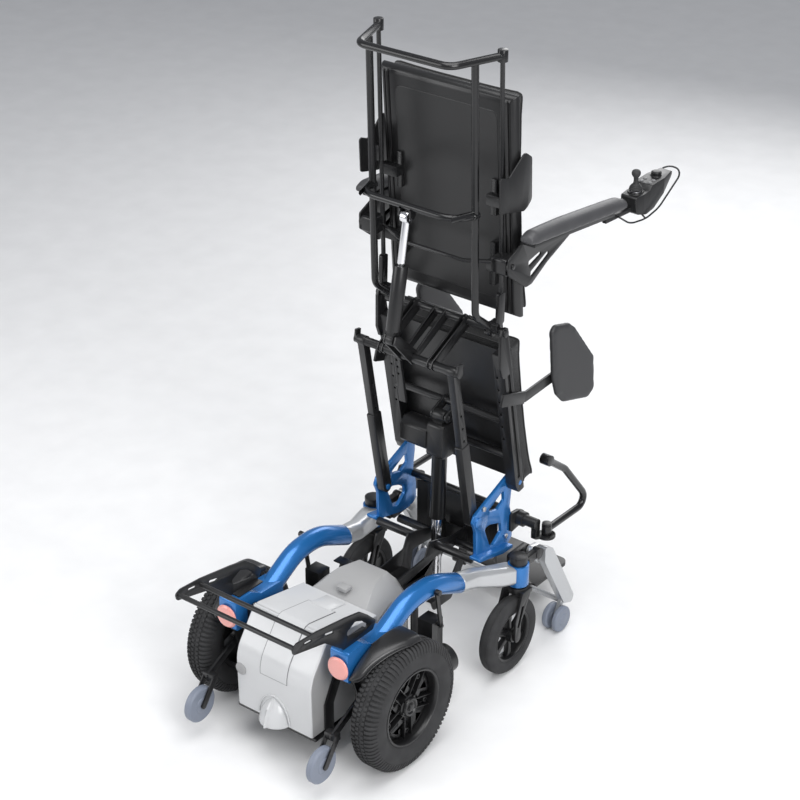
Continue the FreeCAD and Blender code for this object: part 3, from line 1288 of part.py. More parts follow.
def joystick():
    """Stick with its bellows collar and rounded knob."""
    x = POD_X
    up = Vector(0, *unit(STICK, pod(0, 9)))
    core = rod(Vector(x, *pod(0, -8)), Vector(x, *pod(0, 18)), 5)
    skirt = Part.makeCone(11, 7, 12, Vector(x, *pod(0, 10.5)), up)
    collar = rod(Vector(x, *pod(0, 14)), Vector(x, *pod(0, 22)), 18)
    grip = Part.makeCone(6, 9, 32, Vector(x, *pod(0, 21)), up)
    tip = Part.makeSphere(9, Vector(x, *pod(0, 54)))
    return fuse(core, skirt, collar, grip, tip)


def speed_dial():
    x = POD_X
    base = DECK + 2 + LOOSE
    knob = rod(Vector(x, *pod(DIAL_FORWARD, base)), Vector(x, *pod(DIAL_FORWARD, base + 10)), 13)
    bore = rod(Vector(x, *pod(DIAL_FORWARD, base - 1)),
               Vector(x, *pod(DIAL_FORWARD, base + 6)), 4 + RUNNING)
    return knob.cut(bore)


# Recline actuator, from the carrier's fork to the cage's middle bar

def recline(distance):
    return along(RECLINE_FOOT, RECLINE_HEAD, distance)


def recline_body():
    first = pin(RECLINE_FOOT, -11, 11, 15)
    neck = strut(RECLINE_FOOT, recline(34), 24, -11, 11, 2)
    body = rod(Vector(0, *recline(24)), Vector(0, *recline(RECLINE_BODY_LENGTH)),
               RECLINE_BODY_RADIUS)
    solid = fuse(first, neck, body)
    bore = rod(Vector(0, *recline(44)), Vector(0, *recline(RECLINE_BODY_LENGTH + 5)),
               RECLINE_ROD_RADIUS + RUNNING)
    return hole(solid.cut(bore), RECLINE_FOOT, 7 + RUNNING, -12, 12)


def recline_rod():
    """Chrome rod with a loose eye on the cage's pin."""
    span = math.dist(RECLINE_FOOT, RECLINE_HEAD)
    shaft = rod(Vector(0, *recline(RECLINE_BODY_LENGTH - 70)), Vector(0, *recline(span - 12)),
                RECLINE_ROD_RADIUS)
    eye = pin(RECLINE_HEAD, -11, 11, 16)
    return hole(fuse(shaft, eye), RECLINE_HEAD, 5 + 5, -12, 12)


def build():
    left_right = {
        "drive_tyre": drive_tyre(), "drive_rim": drive_rim(),
        "caster_fork": caster_fork(), "caster_tyre": caster_tyre(), "caster_rim": caster_rim(),
        "anti_tip_wheel": anti_tip_wheel(), "support_wheel": support_wheel(),
        "freewheel_lever": freewheel_lever(), "knee_bar": knee_bar(), "armrest": armrest(),
        "arm_pad": arm_pad(),
    }
    for name, shape in left_right.items():
        parts[name + "_left"] = shape
        parts[name + "_right"] = mirrored(shape)
    pairs = {
        "side_frames": side_frame(), "front_arms": front_arm(),
        "caster_heads": caster_head(), "knee_brackets": knee_bracket(),
        "batteries": battery(), "drive_motors": drive_motor(), "fenders": fender(),
        "reflectors": reflector(), "anti_tip_arms": anti_tip_arm(),
        "side_pad_arms": side_pad_arm(), "side_pads": side_pad(),
        "lateral_supports": lateral_support(), "chassis_bolts": chassis_bolts(),
    }
    for name, shape in pairs.items():
        parts[name] = both(shape)
    singles = {
        "cross_members": cross_members(), "centre_bracket": centre_bracket(),
        "battery_tray": battery_tray(), "rear_cover": rear_cover(),
        "front_cover": front_cover(), "luggage_rack": luggage_rack(),
        "calf_panel": calf_panel(),
        "leg_plates": leg_plates(), "footplate": footplate(), "seat_frame": seat_frame(),
        "seat_pan": seat_pan(), "seat_cushion": seat_cushion(), "hip_carrier": hip_carrier(),
        "link_frame": link_frame(), "lift_actuator": lift_actuator(), "lift_rod": lift_rod(),
        "back_frame": back_frame(), "back_shell": back_shell(), "back_cushion": back_cushion(),
        "control_pod": control_pod(), "joystick_gimbal": joystick_gimbal(),
        "joystick": joystick(), "speed_dial": speed_dial(),
        "recline_body": recline_body(), "recline_rod": recline_rod(),
    }
    parts.update(singles)


def export_parts():
    """Moves the origin to the floor under the middle of the whole chair and writes the files."""
    whole = Part.makeCompound(list(parts.values())).BoundBox
    shift = Vector(0, -(whole.YMin + whole.YMax) / 2, 0)
    os.makedirs("parts", exist_ok=True)
    for name, shape in parts.items():
        shape.translate(shift)
        shape.exportStep("parts/" + name + ".step")
    print("nodes", len(parts), "shift", round(shift.y, 3), "box", whole)


if __name__ == "__main__":
    build()
    export_parts()
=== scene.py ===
"""Looks of the standing wheelchair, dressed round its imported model."""

import json
import math

import bmesh
import bpy
from mathutils import Matrix, Vector
from mathutils.bvhtree import BVHTree

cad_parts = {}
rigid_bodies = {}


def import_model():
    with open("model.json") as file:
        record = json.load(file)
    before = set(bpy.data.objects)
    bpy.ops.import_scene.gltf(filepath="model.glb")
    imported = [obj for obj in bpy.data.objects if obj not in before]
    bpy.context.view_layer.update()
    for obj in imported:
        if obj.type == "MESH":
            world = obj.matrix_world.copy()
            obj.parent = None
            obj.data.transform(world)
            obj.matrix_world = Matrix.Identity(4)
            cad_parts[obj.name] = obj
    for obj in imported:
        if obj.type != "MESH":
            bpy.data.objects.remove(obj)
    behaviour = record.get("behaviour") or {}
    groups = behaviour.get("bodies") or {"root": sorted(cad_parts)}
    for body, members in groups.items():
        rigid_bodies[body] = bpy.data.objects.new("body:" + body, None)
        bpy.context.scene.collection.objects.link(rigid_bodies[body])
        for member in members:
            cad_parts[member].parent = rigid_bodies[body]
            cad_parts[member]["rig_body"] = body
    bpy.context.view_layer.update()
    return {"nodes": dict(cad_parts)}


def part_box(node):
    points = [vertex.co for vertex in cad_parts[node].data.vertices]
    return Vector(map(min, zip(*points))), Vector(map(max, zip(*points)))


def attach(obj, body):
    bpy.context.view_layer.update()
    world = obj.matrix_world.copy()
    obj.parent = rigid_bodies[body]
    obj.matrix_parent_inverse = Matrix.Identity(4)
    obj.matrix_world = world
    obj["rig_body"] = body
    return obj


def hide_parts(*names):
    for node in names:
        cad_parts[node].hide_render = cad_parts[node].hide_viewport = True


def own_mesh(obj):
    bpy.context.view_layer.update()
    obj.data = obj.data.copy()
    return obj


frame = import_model()
nodes = frame["nodes"]
ops = bpy.ops
scene = bpy.context.scene

tyre_low, tyre_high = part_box("drive_tyre_left")
AXLE_Y = (tyre_low.y + tyre_high.y) / 2
SIDES = {"left": 1, "right": -1}


def at(x, y, z):
    """Place in metres, from millimetres measured at the rear axle."""
    return Vector((x / 1000, AXLE_Y + y / 1000, z / 1000))


# Camera and light

CAMERA_PLACE = at(-3017.26, 3490.46, 3440.94)
CAMERA_AZIMUTH = 218.23
CAMERA_ELEVATION = 28.31
CAMERA_LENS = 96.9
SKY_COLOUR = (0.9, 0.93, 1.0, 1)
SKY_STRENGTH = 0.33
LIGHTS_AIM = (0, 0, 0.8)


def set_camera():
    azimuth, elevation = math.radians(CAMERA_AZIMUTH), math.radians(CAMERA_ELEVATION)
    back = Vector((
        math.sin(azimuth) * math.cos(elevation),
        -math.cos(azimuth) * math.cos(elevation),
        math.sin(elevation),
    ))
    ops.object.camera_add(location=CAMERA_PLACE)
    camera = bpy.context.object
    camera.name = "photograph_view"
    camera.rotation_euler = (-back).to_track_quat("-Z", "Y").to_euler()
    camera.data.sensor_width = 36.0
    camera.data.lens = CAMERA_LENS
    scene.camera = camera


def add_light(name, place, size, power):
    ops.object.light_add(type="AREA", location=place)
    light = bpy.context.object
    light.name = name
    light.rotation_euler = (Vector(LIGHTS_AIM) - Vector(place)).to_track_quat("-Z", "Y").to_euler()
    light.data.size = size
    light.data.energy = power


def set_studio():
    world = bpy.data.worlds.new("studio")
    world.use_nodes = True
    sky = world.node_tree.nodes["Background"]
    sky.inputs["Color"].default_value = SKY_COLOUR
    sky.inputs["Strength"].default_value = SKY_STRENGTH
    scene.world = world
    add_light("soft_top", (-0.6, 0.6, 4.2), 3.2, 118)
    add_light("key_rear_right", (-3.2, 1.6, 2.6), 2.0, 92)
    add_light("fill_rear_left", (2.6, 3.2, 2.2), 2.4, 58)
    add_light("front_fill", (0.8, -3.6, 2.4), 2.6, 62)
    scene.view_settings.view_transform = "Standard"


# Finishes


class Wire:
    """A shader value that takes part in Python arithmetic."""

    def __init__(self, finish, socket):
        self.finish = finish
        self.socket = socket

    def maths(self, operation, *values):
        inputs = dict(enumerate(values))
        return self.finish.node("ShaderNodeMath", {"operation": operation}, inputs)

    def __add__(self, other):
        return self.maths("ADD", self, other)

    def __radd__(self, other):
        return self.maths("ADD", other, self)

    def __sub__(self, other):
        return self.maths("SUBTRACT", self, other)

    def __rsub__(self, other):
        return self.maths("SUBTRACT", other, self)

    def __mul__(self, other):
        return self.maths("MULTIPLY", self, other)

    def __rmul__(self, other):
        return self.maths("MULTIPLY", other, self)

    def above(self, edge, width):
        """0 below an edge and 1 above it, with a soft step of that width."""
        return self.finish.node(
            "ShaderNodeMapRange", {"interpolation_type": "SMOOTHSTEP"},
            {"Value": self, "From Min": edge - width / 2, "From Max": edge + width / 2})


class Finish:
    """One painted, moulded or sewn finish."""

    def __init__(self, name, colour, roughness, metallic=0.0, **extra):
        self.material = bpy.data.materials.new(name)
        self.material.use_nodes = True
        self.tree = self.material.node_tree
        self.shader = self.tree.nodes["Principled BSDF"]
        self.material.diffuse_color = (*colour, 1)
        self.colour = colour
        self.shader.inputs["Base Color"].default_value = (*colour, 1)
        self.shader.inputs["Roughness"].default_value = roughness
        self.shader.inputs["Metallic"].default_value = metallic
        for socket, value in extra.items():
            self.shader.inputs[socket.replace("_", " ")].default_value = value
        self.place = self.node("ShaderNodeTexCoord", {}, {}, "Object")

    def node(self, kind, settings, values, output=0):
        """A node with its settings made first, then its sockets filled or linked."""
        node = self.tree.nodes.new(kind)
        for key, value in settings.items():
            setattr(node, key, value)
        for key, value in values.items():
            if isinstance(value, Wire):
                self.tree.links.new(value.socket, node.inputs[key])
            else:
                node.inputs[key].default_value = value
        return Wire(self, node.outputs[output])

    def noise(self, scale, detail=3.0, stretch=(1, 1, 1)):
        place = self.place
        if stretch != (1, 1, 1):
            place = self.node("ShaderNodeMapping", {}, {"Vector": place, "Scale": stretch})
        return self.node("ShaderNodeTexNoise", {},
                         {"Vector": place, "Scale": scale, "Detail": detail})

    def cells(self, scale, output="Distance", randomness=1.0):
        return self.node("ShaderNodeTexVoronoi", {},
                         {"Vector": self.place, "Scale": scale, "Randomness": randomness},
                         output)

    def wave(self, axis, length):
        """A sine along an axis, once in each length."""
        part = self.node("ShaderNodeSeparateXYZ", {}, {"Vector": self.place}, axis)
        return part.maths("SINE", part * (2 * math.pi / length))

    def mix(self, factor, first, second):
        """Colour between two colours, each a triple or a wire."""
        def full(colour):
            return colour if isinstance(colour, Wire) else (*colour, 1)
        return self.node("ShaderNodeMix", {"data_type": "RGBA"},
                         {0: factor, 6: full(first), 7: full(second)}, 2)

    def feed(self, socket, wire):
        self.tree.links.new(wire.socket, self.shader.inputs[socket])
        return self

    def bump(self, height, distance, strength=1.0):
        normal = self.node("ShaderNodeBump", {},
                           {"Height": height, "Distance": distance, "Strength": strength})
        return self.feed("Normal", normal)


def shade(colour, factor):
    return tuple(min(1.0, c * factor) for c in colour)


def powder_coat(name, colour, roughness=0.42):
    """Fine orange-peel powder coat, a little paler where dust has settled."""
    paint = Finish(name, colour, roughness, Specular_IOR_Level=0.5)
    grain = paint.noise(1600, 2)
    cloud = paint.noise(7, 4)
    paint.feed("Base Color", paint.mix(cloud.above(0.55, 0.4), colour, shade(colour, 1.6)))
    paint.feed("Roughness", roughness - 0.05 + 0.1 * cloud)
    return paint.bump(grain, 0.00008, 0.55)


def metallic_paint(name, colour, metallic, roughness, flake):
    """Two-layer metallic lacquer with fine flakes under a clear coat."""
    paint = Finish(name, colour, roughness, metallic, Coat_Weight=0.35, Coat_Roughness=0.12)
    flakes = paint.cells(2600, "Color")
    spark = paint.node("ShaderNodeSeparateColor", {}, {"Color": flakes})
    cloud = paint.noise(5, 3)
    tone = paint.mix(spark, shade(colour, 1 - flake), shade(colour, 1 + flake))
    paint.feed("Base Color", paint.mix(cloud * 0.25, tone, shade(colour, 0.8)))
    paint.feed("Roughness", roughness - 0.04 + 0.08 * cloud)
    return paint.bump(paint.noise(240, 2), 0.00006, 0.25)


def moulded(name, colour, roughness, grain=0.00004, scale=900):
    """Injection-moulded plastic with a faint texture and uneven gloss."""
    plastic = Finish(name, colour, roughness, Specular_IOR_Level=0.5)
    cloud = plastic.noise(9, 3)
    fine = plastic.noise(scale, 2)
    plastic.feed("Base Color", plastic.mix(cloud, shade(colour, 0.94), shade(colour, 1.05)))
    plastic.feed("Roughness", roughness - 0.05 + 0.1 * cloud)
    return plastic.bump(fine, grain, 0.6)


def rubber(name, colour, roughness=0.78):
    """Rubber with a dry bloom and small specks."""
    tyre = Finish(name, colour, roughness, Specular_IOR_Level=0.35)
    cloud = tyre.noise(26, 5)
    specks = tyre.noise(900, 3)
    bloom = cloud.above(0.55, 0.35)
    tyre.feed("Base Color", tyre.mix(bloom * 0.6, colour, shade(colour, 1.6)))
    tyre.feed("Roughness", roughness - 0.06 + 0.12 * specks)
    return tyre.bump(specks, 0.00012, 0.5)


def coated_cloth(name, colour, thread=0.0011, roughness=0.72):
    """Close-woven coated upholstery cloth."""
    cloth = Finish(name, colour, roughness, Sheen_Weight=0.25, Sheen_Roughness=0.5,
                   Specular_IOR_Level=0.35)
    weave = cloth.wave("X", thread) * cloth.wave("Z", thread)
    fuzz = cloth.noise(1300, 3)
    cloud = cloth.noise(11, 4)
    cloth.feed("Base Color", cloth.mix(cloud * 0.5 + fuzz * 0.35, shade(colour, 0.75),
                                       shade(colour, 1.5)))
    cloth.feed("Roughness", roughness - 0.06 + 0.12 * fuzz)
    return cloth.bump(weave * 0.5 + fuzz * 0.8, 0.00018, 0.7)


def grained(name, colour, roughness=0.5, scale=420):
    """Soft skin with a leather-like grain of small cells."""
    skin = Finish(name, colour, roughness, Specular_IOR_Level=0.45)
    cells = skin.cells(scale)
    cloud = skin.noise(14, 4)
    skin.feed("Base Color", skin.mix(cloud, shade(colour, 0.85), shade(colour, 1.18)))
    skin.feed("Roughness", roughness - 0.05 + 0.12 * cloud)
    return skin.bump(cells, 0.00025, 0.45)


def bare_metal(name, colour, roughness, stretch=(1, 1, 1)):
    """Plated or brushed metal with fine drawing lines and faint smears."""
    metal = Finish(name, colour, roughness, 1.0)
    lines = metal.noise(900, 2, stretch)
    smear = metal.noise(12, 4)
    metal.feed("Base Color", metal.mix(smear, shade(colour, 0.9), shade(colour, 1.06)))
    metal.feed("Roughness", roughness - 0.03 + 0.06 * smear)
    return metal.bump(lines, 0.00002, 0.3)


def lens(name, colour):
    """Reflector lens: a field of small prisms under clear plastic."""
    glass = Finish(name, colour, 0.28, Coat_Weight=0.8, Coat_Roughness=0.05)
    prisms = glass.cells(330, "Distance", 0.0)
    glass.feed("Base Color", glass.mix(prisms * 1.2, shade(colour, 1.12), shade(colour, 0.8)))
    return glass.bump(prisms, 0.0004, 0.7)


blue = metallic_paint("blue_lacquer", (0.02, 0.165, 0.47), 0.4, 0.26, 0.25)
silver = metallic_paint("silver_lacquer", (0.56, 0.57, 0.58), 0.7, 0.36, 0.12)
black = powder_coat("black_powder_coat", (0.008, 0.008, 0.0085), 0.33)
black_gloss = powder_coat("black_tube_coat", (0.007, 0.007, 0.0075), 0.24)
white = moulded("white_cover_plastic", (0.6, 0.605, 0.61), 0.22)
pale_grey = moulded("pale_grey_plastic", (0.36, 0.36, 0.36), 0.3)
dark_plastic = moulded("dark_plastic", (0.01, 0.01, 0.0105), 0.33, 0.00008)
shell_black = moulded("shell_black", (0.011, 0.011, 0.0115), 0.34, 0.00006)
rim_black = moulded("rim_black", (0.008, 0.008, 0.0085), 0.34, 0.00006)
fender_black = moulded("fender_black", (0.02, 0.02, 0.021), 0.3)
roller_grey = moulded("roller_grey", (0.2, 0.225, 0.28), 0.45, 0.00006)
tyre_black = rubber("tyre_rubber", (0.03, 0.03, 0.031))
stick_rubber = rubber("stick_rubber", (0.03, 0.03, 0.031), 0.62)
cushion_black = coated_cloth("cushion_cloth", (0.0095, 0.0095, 0.01))
pad_grey = grained("arm_pad_skin", (0.055, 0.055, 0.058), 0.42)
side_pad_skin = grained("side_pad_skin", (0.032, 0.032, 0.034), 0.48, 520)
chrome = bare_metal("chromed_rod", (0.82, 0.82, 0.84), 0.1, (1, 1, 0.05))
# Painted shadow: dark grey for the strip that stands in for the shade in the groove round the rear
# cover's tongue.
seam_grey = moulded("seam_grey", (0.16, 0.16, 0.165), 0.5)
key_grey = moulded("key_grey", (0.16, 0.16, 0.165), 0.45)
steel = bare_metal("zinc_steel", (0.5, 0.5, 0.52), 0.34)
reflector_red = lens("reflector_lens", (0.86, 0.36, 0.32))
floor_white = moulded("studio_floor", (0.86, 0.86, 0.86), 0.6)


# Shaping

SMOOTH_ANGLE = 32
EDGE_BREAK = 0.0006


def new_piece(name, points, edges=(), faces=()):
    """An object of its own mesh, from places in metres."""
    mesh = bpy.data.meshes.new(name)
    mesh.from_pydata([tuple(place) for place in points], list(edges), list(faces))
    piece = bpy.data.objects.new(name, mesh)
    scene.collection.objects.link(piece)
    return piece


def select_only(piece):
    ops.object.select_all(action="DESELECT")
    piece.select_set(True)
    bpy.context.view_layer.objects.active = piece


def coat(piece, finish):
    piece.data.materials.clear()
    piece.data.materials.append(finish.material)


def smooth(piece, degrees=SMOOTH_ANGLE):
    select_only(piece)
    ops.object.shade_smooth_by_angle(angle=math.radians(degrees))


def modify(piece, kind, **settings):
    """Adds a modifier, sets it and applies it."""
    select_only(piece)
    modifier = piece.modifiers.new(kind.lower(), kind)
    for key, value in settings.items():
        setattr(modifier, key, value)
    ops.object.modifier_apply(modifier=modifier.name)


def soften(piece, width, segments=2, degrees=SMOOTH_ANGLE):
    modify(piece, "BEVEL", width=width, segments=segments, limit_method="ANGLE",
           angle_limit=math.radians(degrees), use_clamp_overlap=False,
           miter_outer="MITER_ARC")


def pick(piece, kind, test):
    """In edit mode, selects the faces or vertices that pass a test of their place and normal."""
    mesh = bmesh.from_edit_mesh(piece.data)
    for item in getattr(mesh, kind):
        place = item.calc_center_median() if kind == "faces" else item.co
        item.select_set(test(place, item.normal))
    mesh.select_flush_mode()
    bmesh.update_edit_mesh(piece.data)


def edit(piece, mode="FACE"):
    select_only(piece)
    ops.object.mode_set(mode="EDIT")
    ops.mesh.select_mode(type=mode)
    ops.mesh.select_all(action="DESELECT")


def leave():
    ops.object.mode_set(mode="OBJECT")


def finish_piece(piece, name, node, finish, stands_for=()):
    """Names a piece, rests its object at the origin, coats it and rides it on a node's body."""
    piece.name = name
    piece.data.name = name
    select_only(piece)
    ops.object.transform_apply(location=True, rotation=True, scale=True)
    coat(piece, finish)
    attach(piece, nodes[node]["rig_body"])
    if stands_for:
        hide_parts(*stands_for)
    return piece


def stand_in(piece, name, node, finish):
    """Finishes a piece that takes the place of a CAD node."""
    return finish_piece(piece, name, node, finish, stands_for=(node,))


def merge(pieces):
    select_only(pieces[0])
    for piece in pieces[1:]:
        piece.select_set(True)
    if len(pieces) > 1:
        ops.object.join()
    return bpy.context.object


def drawn_out(rings, centre, axis, around=64, closed=False):
    """A turned shape: a ring of vertices drawn out along an axis, resized at each step.

    rings holds (along, radius) in millimetres from the centre.
    """
    direction = {"X": Vector((1, 0, 0)), "Y": Vector((0, 1, 0)), "Z": Vector((0, 0, 1))}[axis]
    turn = {"X": (0, math.pi / 2, 0), "Y": (math.pi / 2, 0, 0), "Z": (0, 0, 0)}[axis]
    here, radius = rings[0]
    ops.object.select_all(action="DESELECT")
    ops.mesh.primitive_circle_add(vertices=around, radius=radius / 1000, rotation=turn,
                                  location=centre + direction * here / 1000)
    piece = bpy.context.object
    ops.object.transform_apply(location=True, rotation=True, scale=True)
    edit(piece, "EDGE")
    ops.mesh.select_all(action="SELECT")
    steps = rings[1:] + (rings[:1] if closed else [])
    for there, next_radius in steps:
        move = direction * (there - here) / 1000
        ops.mesh.extrude_edges_move(TRANSFORM_OT_translate={"value": move})
        grow = next_radius / radius
        scale = [grow if abs(part) < 0.5 else 1.0 for part in direction]
        ops.transform.resize(value=scale, center_override=centre + direction * there / 1000)
        here, radius = there, next_radius
    if closed:
        ops.mesh.select_all(action="SELECT")
        ops.mesh.remove_doubles(threshold=0.00002)
    else:
        ops.mesh.edge_face_add()
        ops.mesh.select_all(action="DESELECT")
        ops.mesh.select_non_manifold()
        ops.mesh.edge_face_add()
    ops.mesh.select_all(action="SELECT")
    ops.mesh.normals_make_consistent(inside=False)
    leave()
    return piece


def block(corner, opposite):
    """A box between two opposite corners in metres."""
    ops.object.select_all(action="DESELECT")
    low = Vector([min(pair) for pair in zip(corner, opposite)])
    high = Vector([max(pair) for pair in zip(corner, opposite)])
    ops.mesh.primitive_cube_add(size=1, location=(low + high) / 2)
    piece = bpy.context.object
    piece.scale = high - low
    ops.object.transform_apply(location=True, rotation=True, scale=True)
    return piece


def rod_along(points, radius, bend=0.0, steps=7, closed=False, sides=6):
    """A round rod through points in metres, its corners bent to a radius."""
    edges = [(i, i + 1) for i in range(len(points) - 1)]
    if closed:
        edges.append((len(points) - 1, 0))
    piece = new_piece("rod", points, edges)
    if bend:
        edit(piece, "VERT")
        mesh_now = bmesh.from_edit_mesh(piece.data)
        for vertex in mesh_now.verts:
            vertex.select_set(len(vertex.link_edges) == 2)
        bmesh.update_edit_mesh(piece.data)
        ops.mesh.bevel(offset=bend, affect="VERTICES", segments=steps, clamp_overlap=True)
        leave()
    select_only(piece)
    ops.object.convert(target="CURVE")
    piece = bpy.context.object
    piece.data.bevel_depth = radius
    piece.data.bevel_resolution = sides
    piece.data.use_fill_caps = True
    ops.object.convert(target="MESH")
    piece = bpy.context.object
    smooth(piece, 50)
    return piece


def plate_of(points, thickness, bevel=0.0, corner=0.0):
    """A flat plate: its outline in metres is filled, then drawn out by a thickness vector.

    corner is one radius for all corners, or one for each.
    """
    count = len(points)
    piece = new_piece("plate", points, [(i, (i + 1) % count) for i in range(count)])
    edit(piece, "VERT")
    radii = corner if isinstance(corner, list) else [corner] * count
    for radius in sorted(set(radii) - {0, 0.0}):
        chosen = [points[i] for i in range(count) if radii[i] == radius]
        ops.mesh.select_all(action="DESELECT")
        pick(piece, "verts", lambda place, normal: any((place - p).length < 1e-5
                                                       for p in chosen))
        ops.mesh.bevel(offset=radius, affect="VERTICES", segments=5, clamp_overlap=True)
    ops.mesh.select_all(action="SELECT")
    ops.mesh.edge_face_add()
    ops.mesh.extrude_region_move(TRANSFORM_OT_translate={"value": thickness})
    ops.mesh.select_all(action="SELECT")
    ops.mesh.normals_make_consistent(inside=False)
    leave()
    if bevel:
        soften(piece, bevel)
    smooth(piece)
    return piece


def carve(piece, cutter):
    """Takes the cutter's volume out of a piece and removes the cutter."""
    select_only(piece)
    cut = piece.modifiers.new("carve", "BOOLEAN")
    cut.object = cutter
    cut.operation = "DIFFERENCE"
    cut.solver = "EXACT"
    ops.object.modifier_apply(modifier=cut.name)
    bpy.data.objects.remove(cutter)
    return piece


def copy_of(node, drop=None):
    """A merged copy of a CAD node, with flat faces made whole; drop takes faces out."""
    mesh = nodes[node].data.copy()
    piece = bpy.data.objects.new(node + "_finished", mesh)
    scene.collection.objects.link(piece)
    if "custom_normal" in mesh.attributes:
        mesh.attributes.remove(mesh.attributes["custom_normal"])
    edit(piece, "VERT")
    ops.mesh.select_all(action="SELECT")
    ops.mesh.remove_doubles(threshold=0.000004)
    if drop:
        ops.mesh.select_mode(type="FACE")
        pick(piece, "faces", drop)
        ops.mesh.delete(type="FACE")
    ops.mesh.select_mode(type="EDGE")
    ops.mesh.select_all(action="SELECT")
    ops.mesh.dissolve_limited(angle_limit=math.radians(0.4))
    leave()
    return piece


def dress(node, finish):
    """A CAD node's own shape with broken edges, smooth round faces and its finish."""
    piece = copy_of(node)
    soften(piece, EDGE_BREAK)
    smooth(piece)
    return stand_in(piece, node + "_finished", node, finish)


# Places of the raised seat and of the backrest

KNEE_Y, KNEE_Z = -598.0, 523.0
SEAT_ANGLE = math.radians(79.7)
BACK_LEAN = math.radians(4.1)
BACK_FOOT_Y, BACK_FOOT_Z = -560.0, 1022.0


def seat(x, up, out):
    """Place on the seat: up from the knee pivot to the hip, out behind the seat."""
    return at(x, KNEE_Y + up * math.cos(SEAT_ANGLE) + out * math.sin(SEAT_ANGLE),
              KNEE_Z + up * math.sin(SEAT_ANGLE) - out * math.cos(SEAT_ANGLE))


def back(x, up, out):
    """Place on the backrest: up from its foot, out behind its rear face."""
    return at(x, BACK_FOOT_Y + up * math.sin(BACK_LEAN) + out * math.cos(BACK_LEAN),
              BACK_FOOT_Z + up * math.cos(BACK_LEAN) - out * math.sin(BACK_LEAN))


# Wheels

WHEEL_X = 277.5
WHEEL_RADIUS = 178.0
LUGS = 84
PETALS = 5


def on_wheel(centre, out, radius, degrees):
    """Place on a wheel: out along its axle, at a radius and an angle from the top."""
    turn = math.radians(degrees)
    return centre + Vector((out, -radius * math.sin(turn), radius * math.cos(turn))) / 1000


def repeat_round(piece, centre, count, sweep=360.0):
    """Copies a piece round an axle through the centre, all in one mesh."""
    edit(piece, "VERT")
    ops.mesh.select_all(action="SELECT")
    ops.mesh.spin(steps=count - 1, dupli=True, angle=math.radians(sweep) * (count - 1) / count,
                  center=centre, axis=(1, 0, 0))
    ops.mesh.select_all(action="SELECT")
    ops.mesh.normals_make_consistent(inside=False)
    leave()
    return piece


def tread_block(centre, outline, width, turn=0.0):
    """One rubber block on the tread; its outline is seen across the wheel."""
    points = [on_wheel(centre, out, radius, turn) for out, radius in outline]
    tangent = Vector((0, math.cos(math.radians(turn)), math.sin(math.radians(turn))))
    half = tangent * width / 2000
    piece = plate_of([point - half for point in points], half * 2)
    soften(piece, 0.0009, 1, 50)
    return piece


def drive_tyre(name, side):
    """Pneumatic tyre: smooth bulging walls, long shoulder lugs and two rows of small blocks."""
    centre = at(side * WHEEL_X, 0, WHEEL_RADIUS)
    half = [(28.9, 104), (31.5, 106), (33.5, 110), (36.8, 115), (38.3, 122), (39, 132),
            (38.8, 143), (37.2, 152.5), (34, 161.5), (29.5, 168), (22, 172.2), (12, 174),
            (4, 174.6)]
    rings = [(-out, radius) for out, radius in half] + half[::-1]
    pieces = [drawn_out(rings, centre, "X", 112, closed=True)]
    pitch = 360 / LUGS
    shoulder = [(14.5, 177.6), (22.8, 177.3), (29.5, 173.6), (34.6, 167), (37.9, 158.2),
                (39.0, 151.5), (37, 150.5), (31, 162), (24, 169), (14.5, 172)]
    small = [(3.2, 177.9), (12.2, 177.9), (12.2, 172), (3.2, 172)]
    for hand in (-1, 1):
        rows = [(shoulder, 7.4, 0.0 if hand > 0 else pitch / 2),
                (small, 8.6, pitch * (0.5 if hand > 0 else 0.0))]
        for outline, width, turn in rows:
            across = [(hand * out, radius) for out, radius in outline]
            pieces.append(repeat_round(tread_block(centre, across, width, turn), centre, LUGS))
    tyre = merge(pieces)
    smooth(tyre, 38)
    return stand_in(tyre, "drive_tyre_tread_" + name, "drive_tyre_" + name, tyre_black)


def radial_bar(centre, start, end, width, low, high):
    """A bar in the wheel's plane between two (radius, degrees) places."""
    first = on_wheel(centre, low, *start)
    last = on_wheel(centre, low, *end)
    across = (last - first).cross(Vector((1, 0, 0))).normalized() * width / 2000
    outline = [first - across, first + across, last + across, last - across]
    return plate_of(outline, Vector((high - low, 0, 0)) / 1000, 0.0009)


